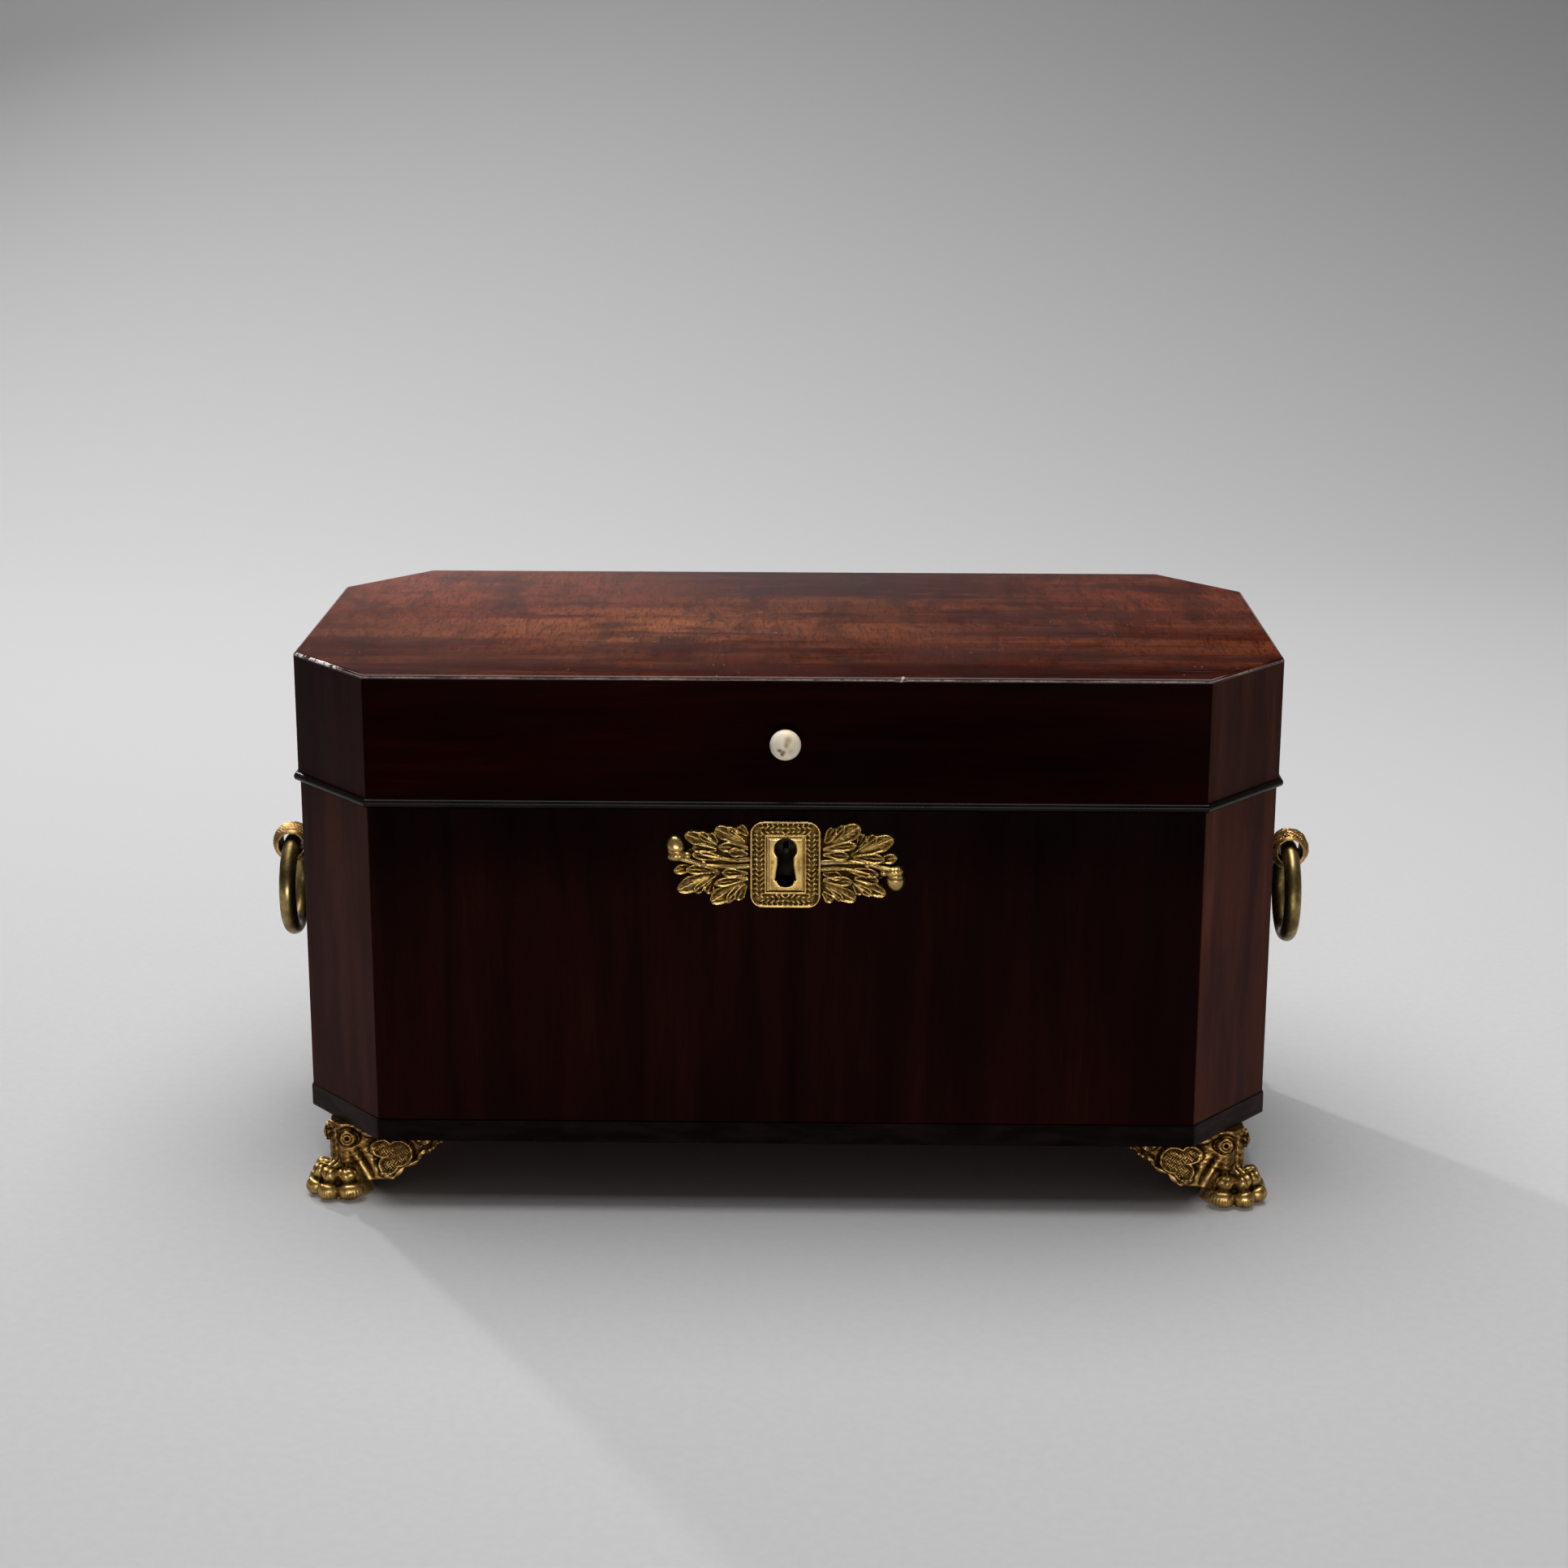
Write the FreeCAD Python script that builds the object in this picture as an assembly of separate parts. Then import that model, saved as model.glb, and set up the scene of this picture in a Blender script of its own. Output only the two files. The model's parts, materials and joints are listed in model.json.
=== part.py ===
import FreeCAD
import Part
import math
import os

# Tea caddy of the early nineteenth century: a mahogany box with canted corners on gilt paw feet.
# Millimetres, +Z up, front towards -Y. The origin is on the floor, under the middle of the box.

Vector = FreeCAD.Vector
X_AXIS = Vector(1, 0, 0)
Y_AXIS = Vector(0, 1, 0)
Z_AXIS = Vector(0, 0, 1)
TOUCHING = 1e-6

# Plan and heights of the box
LID_WIDTH = 320.0
LID_DEPTH = 170.0
CANT_ALONG_FRONT = 27.0
CANT_ALONG_END = 32.0
FOOT_HEIGHT = 25.0
BASE_HEIGHT = 7.5
BODY_HEIGHT = 105.5
LID_HEIGHT = 43.0
LID_GAP = 0.4

# Woodwork
BODY_INSET = 0.6
WALL = 10.5
BASE_STRIP = 3.0
BASE_PROUD = 0.4
LID_WALL = 10.5
VENEER = 1.5
VENEER_SQUARE = 0.3
LID_BOARD = 6.0
LID_LINING = 1.0
BEAD_RADIUS = 1.4

# Inside: two lined tea compartments beside a well for the mixing bowl
PARTITION = 5.0
RIM_DROP = 2.0
INNER_LID = 5.0
INNER_LID_CLEARANCE = 0.5
SEAT_GAP = 0.2
TEA_LINING = 1.2
COLLAR = 5.0
COLLAR_MARGIN = 5.0
INNER_KNOB_RADIUS = 5.0
INNER_KNOB_HEIGHT = 11.0
INNER_KNOB_HEAD = 6.0
INNER_KNOB_NECK = 2.6
INNER_KNOB_FOOT = 4.2
INNER_KNOB_TENON = 1.6
INNER_KNOB_TENON_LENGTH = 4.0

# Glass mixing bowl, hung by its rim
BOWL_RADIUS = 44.4
BOWL_CLEARANCE = 0.6
BOWL_BASE_RADIUS = 35.0
BOWL_FLOOR_GAP = 7.7
BOWL_WALL = 3.0
BOWL_BASE = 6.0
BOWL_RIM = 3.2
BOWL_RIM_SOFTENING = 1.2

# Lock, let into the inside of the front panel, and its link plate in the lid
LOCK_WIDTH = 50.0
LOCK_HEIGHT = 32.0
LOCK_DEPTH = 8.0
LOCK_PLATE = 1.2
LOCK_SCREW_MARGIN = 0.7
LOCK_CLEARANCE = 0.3
BOLT_TRAVEL = 6.0
BOLT_HEIGHT = 8.5
BOLT_LENGTH = 23.0
BOLT_NOSE_HEIGHT = 2.6
BOLT_NOSE_WIDTH = 1.8
BOLT_NOSE_DROP = 3.4
TALON_WIDTH = 5.0
TALON_DEPTH = 5.0
STAPLE_X = 12.0
STAPLE_WIDTH = 5.0
STAPLE_LEG = 1.3
STAPLE_BAR = 1.4
STAPLE_PLAY = 0.5
SPRING_THICKNESS = 0.5
SPRING_WIDTH = 4.0
SPRING_FOOT = 7.0
SPRING_REACH = 14.0
SPRING_RISE = 1.7

# Keyhole, measured down from the rim
KEYHOLE_DROP = 12.5
KEYHOLE_RADIUS = 3.3
KEYHOLE_LENGTH = 12.9
KEYHOLE_NECK = 4.8
KEYHOLE_FOOT = 6.4
DRILL_PIN_DROP = 13.8
DRILL_PIN_RADIUS = 0.9
DRILL_PIN_LENGTH = 7.5

# Escutcheon: a framed plate between two oak sprays
FRAME_DROP = 17.3
FRAME_WIDTH = 22.6
FRAME_HEIGHT = 28.2
FRAME_CORNER = 4.2
FRAME_RELIEF = 2.6
FRAME_RIM = 1.3
FRAME_RIM_RELIEF = 0.5
WINDOW_WIDTH = 11.8
WINDOW_HEIGHT = 18.0
KEYHOLE_PLATE = 1.5
LEAF_RELIEF = 1.7
STEM_RELIEF = 2.1
STEM_WIDTH = 2.0
STEM_SPACING = 3.0
STEM_TIP_SPACING = 2.0
STEM_REACH = 33.5
BLADE_HALF_WIDTH = 2.6
LOBE_SPREAD = 2.4
LOBE_RADIUS = 1.9
LOBES_PER_SIDE = 3
INNER_LEAF_ROOT = 11.0
INNER_LEAF_REACH = 23.0
INNER_LEAF_RISE = 12.3
OUTER_LEAF_ROOT = 17.5
OUTER_LEAF_REACH = 32.6
OUTER_LEAF_RISE = 9.2
ACORN_RADIUS = 2.7
ACORN_LENGTH = 3.2
ACORN_REACH = 34.0
ACORN_DROP = 3.4
ACORN_SLANT = -40.0
SPRAY_PIN_REACH = 26.0

# Screws and pins
SCREW_RADIUS = 1.2
SCREW_HEAD_RADIUS = 2.3
SCREW_HEAD_DEPTH = 1.1
SCREW_LENGTH = 8.0
PIN_RADIUS = 0.5
PIN_HEAD_RADIUS = 1.0
PIN_HEAD_HEIGHT = 0.7
PIN_HEAD_CROWN = 0.3
PIN_DEPTH = 3.5

# Stop hinges
HINGE_SPACING = 170.0
HINGE_LENGTH = 38.0
HINGE_LEAF = 1.5
HINGE_LEAF_WIDTH = 8.0
HINGE_SCREW_SPACING = 12.0
HINGE_SCREW_SETBACK = 4.2
BARREL_RADIUS = 3.0
BARREL_CLEARANCE = 0.3
KNUCKLES = 5
KNUCKLE_GAP = 0.2
HINGE_PIN_RADIUS = 1.0
HINGE_PIN_CLEARANCE = 0.03
LID_OPENS = 95.0
STOP_MARGIN = 1.5
STOP_BAR = 2.0

# Ring handles
HANDLE_HEIGHT = 101.8
BALL_RADIUS = 6.9
BALL_STANDOFF = 13.2
BALL_HOLE_RADIUS = 4.4
ROSE_RADIUS = 9.0
ROSE_THICKNESS = 2.0
ROSE_SLOPE = 1.8
ROSE_EDGE = 1.0
NECK_RADIUS = 3.6
NECK_FLARE = 1.0
STUD_RADIUS = 2.5
NUT_RECESS_DEPTH = 6.0
NUT_RECESS_RADIUS = 7.0
WASHER_RADIUS = 6.0
WASHER_THICKNESS = 1.0
NUT_FLATS = 9.0
NUT_THICKNESS = 3.5
RING_RADIUS = 15.0
RING_WIRE_RADIUS = 2.9

# Bone knob on the front of the lid
KNOB_RADIUS = 4.9
KNOB_LENGTH = 10.5
KNOB_HEAD = 4.6
KNOB_NECK_RADIUS = 3.0
KNOB_FOOT_RADIUS = 4.2
KNOB_TENON_RADIUS = 2.0
KNOB_TENON_LENGTH = 7.0
KNOB_SOFTENING = 0.8

# Paw feet: a corner bracket of two wings with a leg and a lion's paw
FOOT_SETBACK_END = 8.0
FOOT_SETBACK_FRONT = 14.0
WING_START = 4.0
WING_LENGTH = 42.0
WING_THICKNESS = 3.4
WING_TIP_DROP = 2.0
WING_ROOT = 16.0
WING_ROOT_DROP = 20.5
WING_SCALLOPS = 4
WING_SCALLOP_DEPTH = 1.3
MEDALLION_RELIEF = 1.0
MEDALLION_REACH = 20.5
MEDALLION_DROP = 10.8
MEDALLION_RADIUS = 4.9
LOBE_RADIUS = 3.5
LOBE_INWARD = (5.4, 3.4)
LOBE_SHIFT = (-1.8, 4.0)
VOLUTE_RADIUS = 3.0
VOLUTE_RELIEF = 1.4
VOLUTE_REACH = 6.6
VOLUTE_DROP = 4.5
FLANGE_REACH = 27.0
FLANGE_THICKNESS = 2.0
FLANGE_SCREW_NEAR = 9.0
FLANGE_SCREW_FAR = 17.0
LEG_TOP_RADIUS = 6.2
LEG_WAIST_RADIUS = 4.6
LEG_ANKLE_RADIUS = 6.0
LEG_TOP_REACH = -10.0
LEG_WAIST_REACH = -8.5
LEG_ANKLE_REACH = -6.0
LEG_WAIST_HEIGHT = 13.0
LEG_ANKLE_HEIGHT = 4.0
PAW_REACH = -5.5
SOLE_RADIUS = 8.2
SOLE_TOP_RADIUS = 7.0
SOLE_HEIGHT = 4.4
TOES = 4
TOE_SPREAD = 44.0
KNUCKLE_REACH = 7.2
KNUCKLE_HEIGHT = 8.1
KNUCKLE_RADIUS = 2.5
TENDON_HEIGHT = 6.0
TENDON_RADIUS = 2.2
TOE_REACH = 8.8
TOE_HEIGHT = 3.3
TOE_RADIUS = 2.8

# Levels and faces that follow from the sizes above
BODY_BOTTOM = FOOT_HEIGHT + BASE_HEIGHT
RIM = BODY_BOTTOM + BODY_HEIGHT
LID_BOTTOM = RIM + LID_GAP
LID_TOP = LID_BOTTOM + LID_HEIGHT
KNOB_HEIGHT = (LID_BOTTOM + 2 * BEAD_RADIUS + LID_TOP) / 2
VENEER_BOTTOM = LID_TOP - VENEER
BOARD_BOTTOM = VENEER_BOTTOM - LID_BOARD
INNER_TOP = RIM - RIM_DROP
INNER_LID_BOTTOM = INNER_TOP - INNER_LID
LINING_TOP = INNER_LID_BOTTOM - SEAT_GAP
WELL_HALF = BOWL_RADIUS + BOWL_CLEARANCE + COLLAR_MARGIN
BACK_EDGE = LID_DEPTH / 2
FRONT_FACE = BODY_INSET - LID_DEPTH / 2
FRONT_INNER = FRONT_FACE + WALL
END_FACE = LID_WIDTH / 2 - BODY_INSET
END_INNER = END_FACE - WALL
HINGE_AXIS_Y = BACK_EDGE + BARREL_RADIUS + BARREL_CLEARANCE
HINGE_AXIS_Z = RIM + LID_GAP / 2
BALL_X = END_FACE + BALL_STANDOFF
LOCK_SCREW_SPACING = LOCK_WIDTH + 2 * SCREW_HEAD_RADIUS + 2 * LOCK_SCREW_MARGIN
SELVEDGE_LENGTH = LOCK_SCREW_SPACING + 2 * SCREW_HEAD_RADIUS + 2 * LOCK_SCREW_MARGIN
LOCK_OUTER = FRONT_INNER - LOCK_DEPTH
LOCK_MIDDLE = FRONT_INNER - LOCK_DEPTH / 2
LOCK_BOTTOM = RIM - LOCK_HEIGHT
SELVEDGE_BOTTOM = RIM - LOCK_PLATE
CAVITY_OUTER = LOCK_OUTER + LOCK_PLATE
CAVITY_INNER = FRONT_INNER - LOCK_PLATE
BOLT_TOP = SELVEDGE_BOTTOM - LOCK_CLEARANCE
BOLT_BOTTOM = BOLT_TOP - BOLT_HEIGHT
NOSE_TOP = BOLT_TOP - BOLT_NOSE_DROP
NOSE_BOTTOM = NOSE_TOP - BOLT_NOSE_HEIGHT
FRAME_HEIGHT_MIDDLE = RIM - FRAME_DROP
FOOT_CORNER_X = LID_WIDTH / 2 - FOOT_SETBACK_END
FOOT_CORNER_Y = FOOT_SETBACK_FRONT - LID_DEPTH / 2

SIDES = (
    "front",
    "cant_front_right",
    "right",
    "cant_back_right",
    "back",
    "cant_back_left",
    "left",
    "cant_front_left",
)


def box(x_from, x_to, y_from, y_to, z_from, z_to):
    """A block between two corners."""
    return Part.makeBox(x_to - x_from, y_to - y_from, z_to - z_from, Vector(x_from, y_from, z_from))


def rod(radius, start, end):
    """A round bar from one point to another."""
    return Part.makeCylinder(radius, (end - start).Length, start, end - start)


def outline(start, *steps):
    """A face bounded by lines to points and arcs given as (through, end)."""
    edges = []
    here = start
    for step in steps:
        if isinstance(step, tuple):
            through, end = step
            edges.append(Part.Arc(here, through, end).toShape())
        else:
            end = step
            edges.append(Part.makeLine(here, end))
        here = end
    if not here.isEqual(start, TOUCHING):
        edges.append(Part.makeLine(here, start))
    return Part.Face(Part.Wire(edges))


def polygon(points):
    """A flat face with straight sides."""
    return Part.Face(Part.makePolygon(points + points[:1]))


def prism(points, z_from, z_to):
    """A plan outline raised between two heights."""
    return polygon([Vector(p.x, p.y, z_from) for p in points]).extrude(Z_AXIS * (z_to - z_from))


def turned(profile, start, axis):
    """A lathe-turned piece: profile points are (radius, height along the axis)."""
    face = polygon([Vector(radius, 0, height) for radius, height in profile])
    solid = face.revolve(Vector(), Z_AXIS, 360)
    solid.Placement = FreeCAD.Placement(start, FreeCAD.Rotation(Z_AXIS, axis))
    return solid


def inset(points, distance):
    """A convex plan outline, counter-clockwise, with every side moved inwards."""
    moved = []
    for before, point, after in zip(points[-1:] + points[:-1], points, points[1:] + points[:1]):
        into = (point - before).normalize()
        out = (after - point).normalize()
        turn = into.x * out.y - into.y * out.x
        shift = (out - into) * (distance / turn)
        moved.append(point + shift)
    return moved


def mitred_lengths(points, thickness, z_from, z_to):
    """Boards that follow an outline, mitred to each other at its corners."""
    inner = inset(points, thickness)
    boards = []
    for i in range(len(points)):
        j = (i + 1) % len(points)
        boards.append(prism([points[i], points[j], inner[j], inner[i]], z_from, z_to))
    return boards


def cut_all(shape, tools):
    """Sinks each tool into the shape."""
    for tool in tools:
        shape = shape.cut(tool)
    return shape


def fuse_all(shapes):
    """One solid from overlapping ones."""
    return shapes[0].multiFuse(shapes[1:]).removeSplitter()


def mirror_x(shape):
    """The matching piece on the other end of the box."""
    return shape.mirror(Vector(), X_AXIS)


def mirror_y(shape):
    """The matching piece on the other side of the box."""
    return shape.mirror(Vector(), Y_AXIS)


def save(name, *shapes):
    """Writes one piece, or a group of separate pieces, under its name."""
    shape = shapes[0] if len(shapes) == 1 else Part.makeCompound(list(shapes))
    shape.exportStep("parts/" + name + ".step")


def plan():
    """The octagon of the lid, counter-clockwise from the left end of its front."""
    x = LID_WIDTH / 2
    y = LID_DEPTH / 2
    x_cant = x - CANT_ALONG_FRONT
    y_cant = y - CANT_ALONG_END
    return [
        Vector(-x_cant, -y, 0),
        Vector(x_cant, -y, 0),
        Vector(x, -y_cant, 0),
        Vector(x, y_cant, 0),
        Vector(x_cant, y, 0),
        Vector(-x_cant, y, 0),
        Vector(-x, y_cant, 0),
        Vector(-x, -y_cant, 0),
    ]


def countersunk_screw(seat, direction):
    """A wood screw whose head lies flush at the seat."""
    profile = [
        (0, 0),
        (SCREW_HEAD_RADIUS, 0),
        (SCREW_RADIUS, SCREW_HEAD_DEPTH),
        (SCREW_RADIUS, SCREW_LENGTH),
        (0, SCREW_LENGTH),
    ]
    return turned(profile, seat, direction)


def bone_knob(seat, axis, radius, length, head, neck, foot, tenon, tenon_length, softening):
    """A turned knob: tenon, spreading foot, neck and a head with a softened rim."""
    head_start = length - head
    profile = [
        (0, -tenon_length),
        (tenon, -tenon_length),
        (tenon, 0),
        (foot, 0),
        (neck, head_start / 2),
        (neck, head_start - softening),
        (radius - softening, head_start),
        (radius, head_start + softening),
        (radius, length - 2 * softening),
        (radius - softening, length - softening / 2),
        (radius - 3 * softening, length),
        (0, length),
    ]
    return turned(profile, seat, axis)


def keyhole(y_from, y_to):
    """The keyhole as a bar: a round eye over a slot that widens to its foot."""
    eye_height = RIM - KEYHOLE_DROP
    eye = rod(KEYHOLE_RADIUS, Vector(0, y_from, eye_height), Vector(0, y_to, eye_height))
    foot_height = eye_height - KEYHOLE_LENGTH
    slot = polygon([
        Vector(-KEYHOLE_NECK / 2, y_from, eye_height),
        Vector(-KEYHOLE_FOOT / 2, y_from, foot_height),
        Vector(KEYHOLE_FOOT / 2, y_from, foot_height),
        Vector(KEYHOLE_NECK / 2, y_from, eye_height),
    ]).extrude(Y_AXIS * (y_to - y_from))
    return eye.fuse(slot)


def lock_pieces():
    """Lock case with its selvedge, cap with the drill pin, bolt and spring."""
    half = LOCK_WIDTH / 2
    back = box(-half, half, LOCK_OUTER, CAVITY_OUTER, LOCK_BOTTOM, SELVEDGE_BOTTOM)
    left = box(-half, LOCK_PLATE - half, CAVITY_OUTER, CAVITY_INNER, LOCK_BOTTOM, SELVEDGE_BOTTOM)
    floor = box(-half, half, CAVITY_OUTER, CAVITY_INNER, LOCK_BOTTOM, LOCK_BOTTOM + LOCK_PLATE)
    selvedge = box(-SELVEDGE_LENGTH / 2, SELVEDGE_LENGTH / 2, LOCK_OUTER, FRONT_INNER, SELVEDGE_BOTTOM, RIM)
    staple_half = STAPLE_WIDTH / 2 + STAPLE_PLAY
    slot = box(
        STAPLE_X - staple_half, STAPLE_X + staple_half, CAVITY_OUTER, CAVITY_INNER, SELVEDGE_BOTTOM, RIM
    )
    case = fuse_all([back, left, mirror_x(left), floor, selvedge])
    case = cut_all(case, [slot, keyhole(LOCK_OUTER, CAVITY_OUTER)])

    pin_height = RIM - DRILL_PIN_DROP
    pin = rod(
        DRILL_PIN_RADIUS,
        Vector(0, CAVITY_INNER, pin_height),
        Vector(0, CAVITY_INNER - DRILL_PIN_LENGTH, pin_height),
    )
    cap = box(-half, half, CAVITY_INNER, FRONT_INNER, LOCK_BOTTOM, SELVEDGE_BOTTOM).fuse(pin)

    shoulder = STAPLE_X - STAPLE_WIDTH / 2 - LOCK_CLEARANCE - BOLT_TRAVEL
    tail = shoulder - BOLT_LENGTH
    bar = box(
        tail, shoulder, CAVITY_OUTER + LOCK_CLEARANCE, CAVITY_INNER - LOCK_CLEARANCE, BOLT_BOTTOM, BOLT_TOP
    )
    nose = box(
        shoulder,
        shoulder + BOLT_TRAVEL,
        LOCK_MIDDLE - BOLT_NOSE_WIDTH / 2,
        LOCK_MIDDLE + BOLT_NOSE_WIDTH / 2,
        NOSE_BOTTOM,
        NOSE_TOP,
    )
    talon_left = -TALON_WIDTH / 2 - BOLT_TRAVEL / 2
    talon = box(
        talon_left, talon_left + TALON_WIDTH, LOCK_OUTER, FRONT_INNER, BOLT_BOTTOM, BOLT_BOTTOM + TALON_DEPTH
    )
    bolt = bar.fuse(nose).cut(talon)

    wall = LOCK_PLATE - half
    tip_height = BOLT_BOTTOM - LOCK_CLEARANCE
    bend_height = tip_height - SPRING_RISE
    spring_y = LOCK_MIDDLE - SPRING_WIDTH / 2
    spring = polygon([
        Vector(wall, spring_y, bend_height - SPRING_FOOT),
        Vector(wall + SPRING_THICKNESS, spring_y, bend_height - SPRING_FOOT),
        Vector(wall + SPRING_THICKNESS, spring_y, bend_height - SPRING_THICKNESS),
        Vector(wall + SPRING_REACH, spring_y, tip_height - SPRING_THICKNESS),
        Vector(wall + SPRING_REACH, spring_y, tip_height),
        Vector(wall, spring_y, bend_height),
    ]).extrude(Y_AXIS * SPRING_WIDTH)
    return case, cap, bolt, spring


def link_plate():
    """Plate under the lid's front rail, with a staple that drops into the lock."""
    rail_inner = LID_WALL - LID_DEPTH / 2
    plate = box(
        -SELVEDGE_LENGTH / 2,
        SELVEDGE_LENGTH / 2,
        LOCK_OUTER,
        min(FRONT_INNER, rail_inner),
        LID_BOTTOM,
        LID_BOTTOM + LOCK_PLATE,
    )
    left = STAPLE_X - STAPLE_WIDTH / 2
    right = STAPLE_X + STAPLE_WIDTH / 2
    outer = CAVITY_OUTER + LOCK_CLEARANCE
    inner = CAVITY_INNER - LOCK_CLEARANCE
    bar_top = NOSE_BOTTOM - LOCK_CLEARANCE
    bar_bottom = bar_top - STAPLE_BAR
    front_leg = box(left, right, outer, outer + STAPLE_LEG, bar_bottom, LID_BOTTOM)
    back_leg = box(left, right, inner - STAPLE_LEG, inner, bar_bottom, LID_BOTTOM)
    bar = box(left, right, outer + STAPLE_LEG, inner - STAPLE_LEG, bar_bottom, bar_top)
    return plate, front_leg, back_leg, bar


def lock_screws(height, direction):
    """The screws at both ends of the selvedge or of the link plate."""
    half = LOCK_SCREW_SPACING / 2
    return [countersunk_screw(Vector(x, LOCK_MIDDLE, height), direction) for x in (-half, half)]


def knuckle_spans(middle):
    """The stretch of the barrel that each knuckle takes, left to right."""
    pitch = HINGE_LENGTH / KNUCKLES
    start = middle - HINGE_LENGTH / 2
    return [
        (start + i * pitch + KNUCKLE_GAP / 2, start + (i + 1) * pitch - KNUCKLE_GAP / 2)
        for i in range(KNUCKLES)
    ]


def hinge_leaf(middle, on_lid):
    """One leaf of a stop hinge with its knuckles and the bar that stops the lid."""
    left = middle - HINGE_LENGTH / 2
    right = middle + HINGE_LENGTH / 2
    bottom = LID_BOTTOM if on_lid else RIM - HINGE_LEAF
    top = bottom + HINGE_LEAF
    pieces = [box(left, right, BACK_EDGE - HINGE_LEAF_WIDTH, BACK_EDGE, bottom, top)]

    bar_start = BARREL_RADIUS + BARREL_CLEARANCE
    bar_end = bar_start + STOP_BAR
    bar_half_angle = math.degrees(math.atan2(STOP_BAR / 2, bar_start))
    bar_angle = (LID_OPENS + STOP_MARGIN) / 2 + bar_half_angle
    axis = Vector(middle, HINGE_AXIS_Y, HINGE_AXIS_Z)
    low = HINGE_AXIS_Z - STOP_BAR / 2
    high = HINGE_AXIS_Z + STOP_BAR / 2
    stop = [box(left, right, HINGE_AXIS_Y + bar_start, HINGE_AXIS_Y + bar_end, low, high)]
    for span_left, span_right in knuckle_spans(middle)[1 if on_lid else 0::2]:
        pieces.append(box(span_left, span_right, BACK_EDGE, HINGE_AXIS_Y, bottom, top))
        start = Vector(span_left, HINGE_AXIS_Y, HINGE_AXIS_Z)
        end = Vector(span_right, HINGE_AXIS_Y, HINGE_AXIS_Z)
        pieces.append(rod(BARREL_RADIUS, start, end))
        stop.append(box(span_left, span_right, HINGE_AXIS_Y, HINGE_AXIS_Y + bar_end, low, high))
    for piece in stop:
        piece.rotate(axis, X_AXIS, bar_angle if on_lid else -bar_angle)
    hole_radius = HINGE_PIN_RADIUS + (HINGE_PIN_CLEARANCE if on_lid else 0)
    return fuse_all(pieces + stop).cut(hinge_pin(middle, hole_radius))


def hinge_pin(middle, radius):
    """The pin through a barrel."""
    half = X_AXIS * (HINGE_LENGTH / 2)
    axis = Vector(middle, HINGE_AXIS_Y, HINGE_AXIS_Z)
    return rod(radius, axis - half, axis + half)


def hinge_screws(middle, on_lid):
    """Three screws through a leaf."""
    seat_height = LID_BOTTOM if on_lid else RIM
    direction = Z_AXIS if on_lid else -Z_AXIS
    y = BACK_EDGE - HINGE_SCREW_SETBACK
    return [
        countersunk_screw(Vector(middle + step * HINGE_SCREW_SPACING, y, seat_height), direction)
        for step in (-1, 0, 1)
    ]


def handle_boss():
    """Right-hand boss: rose, neck, pierced ball and the stud through the end panel."""
    stud_length = WALL - NUT_RECESS_DEPTH + WASHER_THICKNESS + NUT_THICKNESS
    profile = [
        (0, -stud_length),
        (STUD_RADIUS, -stud_length),
        (STUD_RADIUS, 0),
        (ROSE_RADIUS, 0),
        (ROSE_RADIUS, ROSE_EDGE),
        (ROSE_RADIUS - ROSE_SLOPE, ROSE_THICKNESS),
        (NECK_RADIUS + NECK_FLARE, ROSE_THICKNESS),
        (NECK_RADIUS, ROSE_THICKNESS + NECK_FLARE),
        (NECK_RADIUS, BALL_STANDOFF),
        (0, BALL_STANDOFF),
    ]
    stem = turned(profile, Vector(END_FACE, 0, HANDLE_HEIGHT), X_AXIS)
    middle = Vector(BALL_X, 0, HANDLE_HEIGHT)
    ball = Part.makeSphere(BALL_RADIUS, middle)
    hole = rod(BALL_HOLE_RADIUS, middle - Y_AXIS * BALL_RADIUS, middle + Y_AXIS * BALL_RADIUS)
    return stem.fuse(ball).cut(hole)


def handle_fastening():
    """Washer and nut in their recess behind the right-hand boss, and the recess."""
    seat = Vector(END_INNER + NUT_RECESS_DEPTH, 0, HANDLE_HEIGHT)
    recess = rod(NUT_RECESS_RADIUS, seat, seat - X_AXIS * NUT_RECESS_DEPTH)
    washer_end = seat - X_AXIS * WASHER_THICKNESS
    nut_end = washer_end - X_AXIS * NUT_THICKNESS
    stud = rod(STUD_RADIUS, seat + X_AXIS * WALL, seat - X_AXIS * WALL)
    corner_radius = NUT_FLATS / math.sqrt(3)
    corners = []
    for i in range(6):
        angle = math.radians(60 * i)
        corners.append(washer_end + Vector(0, math.cos(angle), math.sin(angle)) * corner_radius)
    nut = polygon(corners).extrude(nut_end - washer_end).cut(stud)
    washer = rod(WASHER_RADIUS, seat, washer_end).cut(stud)
    return washer, nut, recess


def handle_ring():
    """Right-hand ring, hanging through the ball."""
    middle = Vector(BALL_X, 0, HANDLE_HEIGHT - RING_RADIUS)
    return Part.makeTorus(RING_RADIUS, RING_WIRE_RADIUS, middle, X_AXIS)


def relief(face, height):
    """An ornament raised from the front of the box."""
    return face.extrude(-Y_AXIS * height)


def on_front(x, z):
    """A point on the front of the box, measured from the middle of the escutcheon."""
    return Vector(x, FRONT_FACE, FRAME_HEIGHT_MIDDLE + z)


def oak_leaf(root, tip):
    """A pointed leaf with round lobes along both edges."""
    along = tip - root
    across = Vector(-along.z, 0, along.x).normalize()
    middle = (root + tip) / 2
    bulge = across * BLADE_HALF_WIDTH
    blade = outline(root, (middle + bulge, tip), (middle - bulge, root))
    pieces = [relief(blade, LEAF_RELIEF)]
    for i in range(LOBES_PER_SIDE):
        share = (i + 1) / (LOBES_PER_SIDE + 1)
        spread = math.sin(math.pi * share) * LOBE_SPREAD
        for side in (-spread, spread):
            centre = root + along * share + across * side
            pieces.append(rod(LOBE_RADIUS, centre, centre - Y_AXIS * LEAF_RELIEF))
    return pieces


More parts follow.
